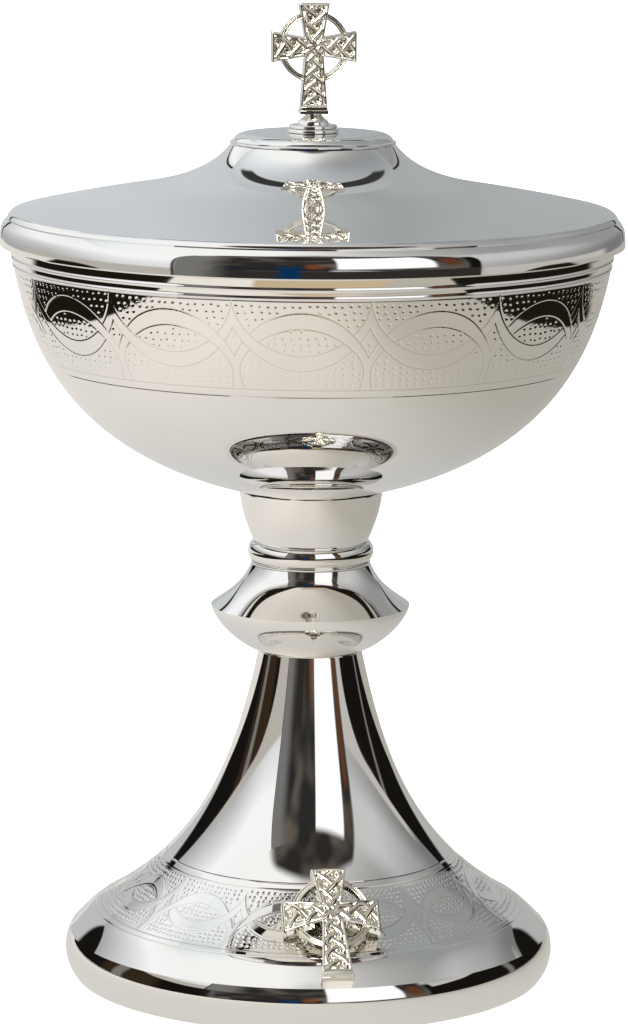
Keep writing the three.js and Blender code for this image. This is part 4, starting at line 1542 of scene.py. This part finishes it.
def ringed_cross(ornament, scale, both_faces, flatness=1.0):
    """A cast cross that stands up along Y from its plinth, its thickness centred on Z = 0."""
    bm = bmesh.new()
    # Painted shade of the sunk ground, kept on each point
    recess_shade = bm.verts.layers.float.new("recess_shade")
    bm.verts.layers.int.new("peg")
    half_depth = ornament.cross_thickness * flatness / 2
    root = ornament.cross_root / 2
    corners = {}

    def corner(x, y):
        """A point of the outline, made once."""
        key = (round(x, 7), round(y, 7))
        if key not in corners:
            corners[key] = bm.verts.new((x, y, half_depth))
        return corners[key]

    square = ((-root, -root), (root, -root), (root, root), (-root, root))
    bm.faces.new([corner(x, y) for x, y in square])
    for (way, reach, end), parts in zip(limbs(ornament), LIMB_PARTS):
        way = Vector(way)
        across = Vector((-way.y, way.x))
        if way.y < 0:
            reach += ornament.cross_plinth_height / 2
        for i in range(parts):
            quad = []
            for t, side in ((i, 1), (i, -1), (i + 1, -1), (i + 1, 1)):
                run = root + (reach - root) * t / parts
                width = root + (end - root) * t / parts
                point = way * run + across * width * side
                quad.append(corner(point.x, point.y))
            bm.faces.new(quad)
    cuts = 35
    bmesh.ops.subdivide_edges(bm, edges=bm.edges, cuts=cuts, use_grid_fill=True)
    bmesh.ops.recalc_face_normals(bm, faces=bm.faces)
    front = list(bm.faces)
    made = bmesh.ops.extrude_face_region(bm, geom=front, use_keep_orig=True)
    back = [item for item in made["geom"] if isinstance(item, bmesh.types.BMVert)]
    bmesh.ops.translate(bm, vec=(0, 0, -2 * half_depth), verts=back)
    finish_bmesh(bm)
    carve_faces(bm, ornament, recess_shade, both_faces)
    shade(bm, 50)
    add_hoop(bm, ornament, flatness)
    add_plinth(bm, ornament, flatness)
    lift = ornament.cross_plinth_height + ornament.cross_shaft
    bmesh.ops.translate(bm, vec=(0, lift, 0), verts=bm.verts)
    bmesh.ops.scale(bm, vec=(scale, scale, scale), verts=bm.verts)
    return bm


def carve_faces(bm, ornament, recess_shade, both_faces):
    """Sinks the panels between raised borders and leaves three strands plaited down each arm.

    Each point also notes how much painted shade its depth gives it.
    """
    verts = [v for v in bm.verts if v.co.z > 0 or both_faces]
    xy = np.array([(v.co.x, v.co.y) for v in verts])
    corners = np.array(cross_outline(ornament))
    edge = np.full(len(xy), 1.0)
    for a, b in zip(corners, np.roll(corners, -1, axis=0)):
        span = b - a
        t = np.clip(((xy - a) @ span) / (span @ span), 0, 1)
        edge = np.minimum(edge, np.linalg.norm(xy - (a + t[:, None] * span), axis=1))
    border, ground = ornament.border, ornament.ground_depth
    wall = np.clip((edge - border) / SLOPE, 0, 1)
    wall = wall * wall * (3 - 2 * wall)
    depth = ground * wall
    radius = ornament.strand_radius
    root = ornament.cross_root / 2
    for ((wx, wy), reach, end), turns in zip(limbs(ornament), PLAIT_TURNS):
        run = xy[:, 0] * wx + xy[:, 1] * wy
        across = xy[:, 1] * wx - xy[:, 0] * wy
        stop = reach - border - 0.25 * MM
        half = root + (end - root) * np.clip((run - root) / (reach - root), 0, 1)
        swing = (half - border - radius * 0.55) * 1.02
        for strand in range(3):
            phase = TURN * (run / stop * turns + strand / 3)
            slope = swing * TURN * turns / stop * np.cos(phase)
            centre = swing * np.sin(phase)
            away = np.abs(across - centre) / np.sqrt(1 + slope**2)
            dome = np.sqrt(np.clip(1 - (away / radius) ** 2, 0, 1))
            over = 0.5 + 0.5 * np.sin(2 * phase)
            top = np.maximum(ground - (STRAND_LOW + STRAND_OVER * over) * dome, STRAND_SKIN)
            inside = (run > -0.4 * MM) & (run < stop + 0.5 * MM) & (dome > 0)
            depth = np.where(inside, np.minimum(depth, top), depth)
    rounding = np.clip(1 - edge / SLOPE, 0, 1) ** 2 * ROUNDING
    depth = depth + rounding
    lost = xy[:, 1] < -ornament.cross_shaft + 0.05 * MM
    depth = np.where(lost, 0, depth)
    for vert, sink, rounded in zip(verts, depth, rounding):
        vert.co.z -= math.copysign(sink, vert.co.z)
        # Painted shade by how deep the ground lies, leaving out the edges' rounding
        vert[recess_shade] = max(0.0, min(1.0, (sink - rounded) / ground))


def add_hoop(bm, ornament, flatness):
    """The ring through the arms: a square bar with two raised edges on its face."""
    outer = ornament.cross_ring_radius
    inner = outer - ornament.cross_ring_width
    deep = ornament.cross_ring_depth * flatness / 2
    lip, slope = 0.3 * MM, 0.12 * MM
    groove = deep - 0.3 * MM
    section = [
        (inner, -deep), (outer, -deep), (outer, deep), (outer - lip, deep),
        (outer - lip - slope, groove), (inner + lip + slope, groove),
        (inner + lip, deep), (inner, deep),
    ]
    points = [bm.verts.new((x, 0, z)) for x, z in section]
    edges = [bm.edges.new(pair) for pair in zip(points, points[1:] + points[:1])]
    before = set(bm.faces)
    bmesh.ops.spin(
        bm, geom=points + edges, cent=(0, 0, 0), axis=(0, 0, 1), dvec=(0, 0, 0),
        angle=TURN, steps=96, use_merge=True, use_normal_flip=False, use_duplicate=False,
    )
    made = [f for f in bm.faces if f not in before]
    bmesh.ops.recalc_face_normals(bm, faces=made)
    soften(bm, made, 0.07 * MM)


def add_plinth(bm, ornament, flatness):
    """The block under the shaft, in two steps."""
    wide, deep = ornament.cross_plinth_width, ornament.cross_plinth_depth * flatness
    tall = ornament.cross_plinth_height
    bottom = -ornament.cross_shaft - tall
    lower = tall * 0.52
    steps = ((bottom, bottom + lower, 0), (bottom + lower * 0.8, bottom + tall, 0.3 * MM))
    for low, high, inset in steps:
        before = set(bm.faces)
        size = Matrix.Diagonal((wide - 2 * inset, high - low, deep - 2 * inset, 1))
        middle = Matrix.Translation((0, (low + high) / 2, 0))
        bmesh.ops.create_cube(bm, size=1, matrix=middle @ size)
        soften(bm, [f for f in bm.faces if f not in before], 0.12 * MM)


def soften(bm, faces, width):
    """Rounds the edges of some faces and shades them."""
    edges = {e for f in faces for e in f.edges if e.calc_face_angle(0) > math.radians(30)}
    made = bmesh.ops.bevel(
        bm, geom=list(edges), offset=width, offset_type="OFFSET", affect="EDGES",
        segments=2, profile=0.5, material=-1, clamp_overlap=True,
    )
    for face in list(made["faces"]) + [f for f in faces if f.is_valid]:
        face.smooth = True


class CIBORIUM_OT_fittings(bpy.types.Operator):
    """Gives the hidden fittings their turned brass and steel"""

    bl_idname = "ciborium.fittings"
    bl_label = "Fittings"

    def execute(self, context):
        finish = context.scene.ciborium_finish
        slots = {row["node"]: row["material_slot"] for row in frame["record"]["subparts"]}
        for name, node in frame["nodes"].items():
            if node.hide_render:
                continue
            kind = "brass_turned" if slots[name] == "brass" else "steel_turned"
            node.data.materials.clear()
            node.data.materials.append(material_named(kind, finish))
        return {"FINISHED"}


class CIBORIUM_PT_panel(bpy.types.Panel):
    """Lists the ciborium's sizes and the operators that make its pieces"""

    bl_idname = "CIBORIUM_PT_panel"
    bl_label = "Ciborium"
    bl_space_type = "VIEW_3D"
    bl_region_type = "UI"
    bl_category = "Ciborium"

    def draw(self, context):
        for group in GROUPS:
            settings = getattr(context.scene, group)
            box = self.layout.box()
            for key in settings.__annotations__:
                box.prop(settings, key)
        for operator in OPERATORS:
            self.layout.operator(operator.bl_idname)


GROUPS = {
    "ciborium_sizes": CiboriumSizes,
    "ciborium_ornament": CiboriumOrnament,
    "ciborium_finish": CiboriumFinish,
    "ciborium_studio": CiboriumStudio,
}
OPERATORS = (
    CIBORIUM_OT_stage,
    CIBORIUM_OT_foot,
    CIBORIUM_OT_stem,
    CIBORIUM_OT_bowl,
    CIBORIUM_OT_lid,
    CIBORIUM_OT_crosses,
    CIBORIUM_OT_fittings,
)


def register():
    """Makes the property groups, the operators and the panel known to Blender."""
    for name, group in GROUPS.items():
        bpy.utils.register_class(group)
        setattr(bpy.types.Scene, name, PointerProperty(type=group))
    for operator in OPERATORS:
        bpy.utils.register_class(operator)
    bpy.utils.register_class(CIBORIUM_PT_panel)


def unregister():
    """Takes them back in the opposite order."""
    bpy.utils.unregister_class(CIBORIUM_PT_panel)
    for operator in reversed(OPERATORS):
        bpy.utils.unregister_class(operator)
    for name, group in reversed(GROUPS.items()):
        delattr(bpy.types.Scene, name)
        bpy.utils.unregister_class(group)


def main():
    """Makes every piece once, then the studio."""
    register()
    bpy.ops.ciborium.foot()
    bpy.ops.ciborium.stem()
    bpy.ops.ciborium.bowl()
    bpy.ops.ciborium.lid()
    bpy.ops.ciborium.crosses()
    bpy.ops.ciborium.fittings()
    bpy.ops.ciborium.stage()


if __name__ == "__main__":
    main()
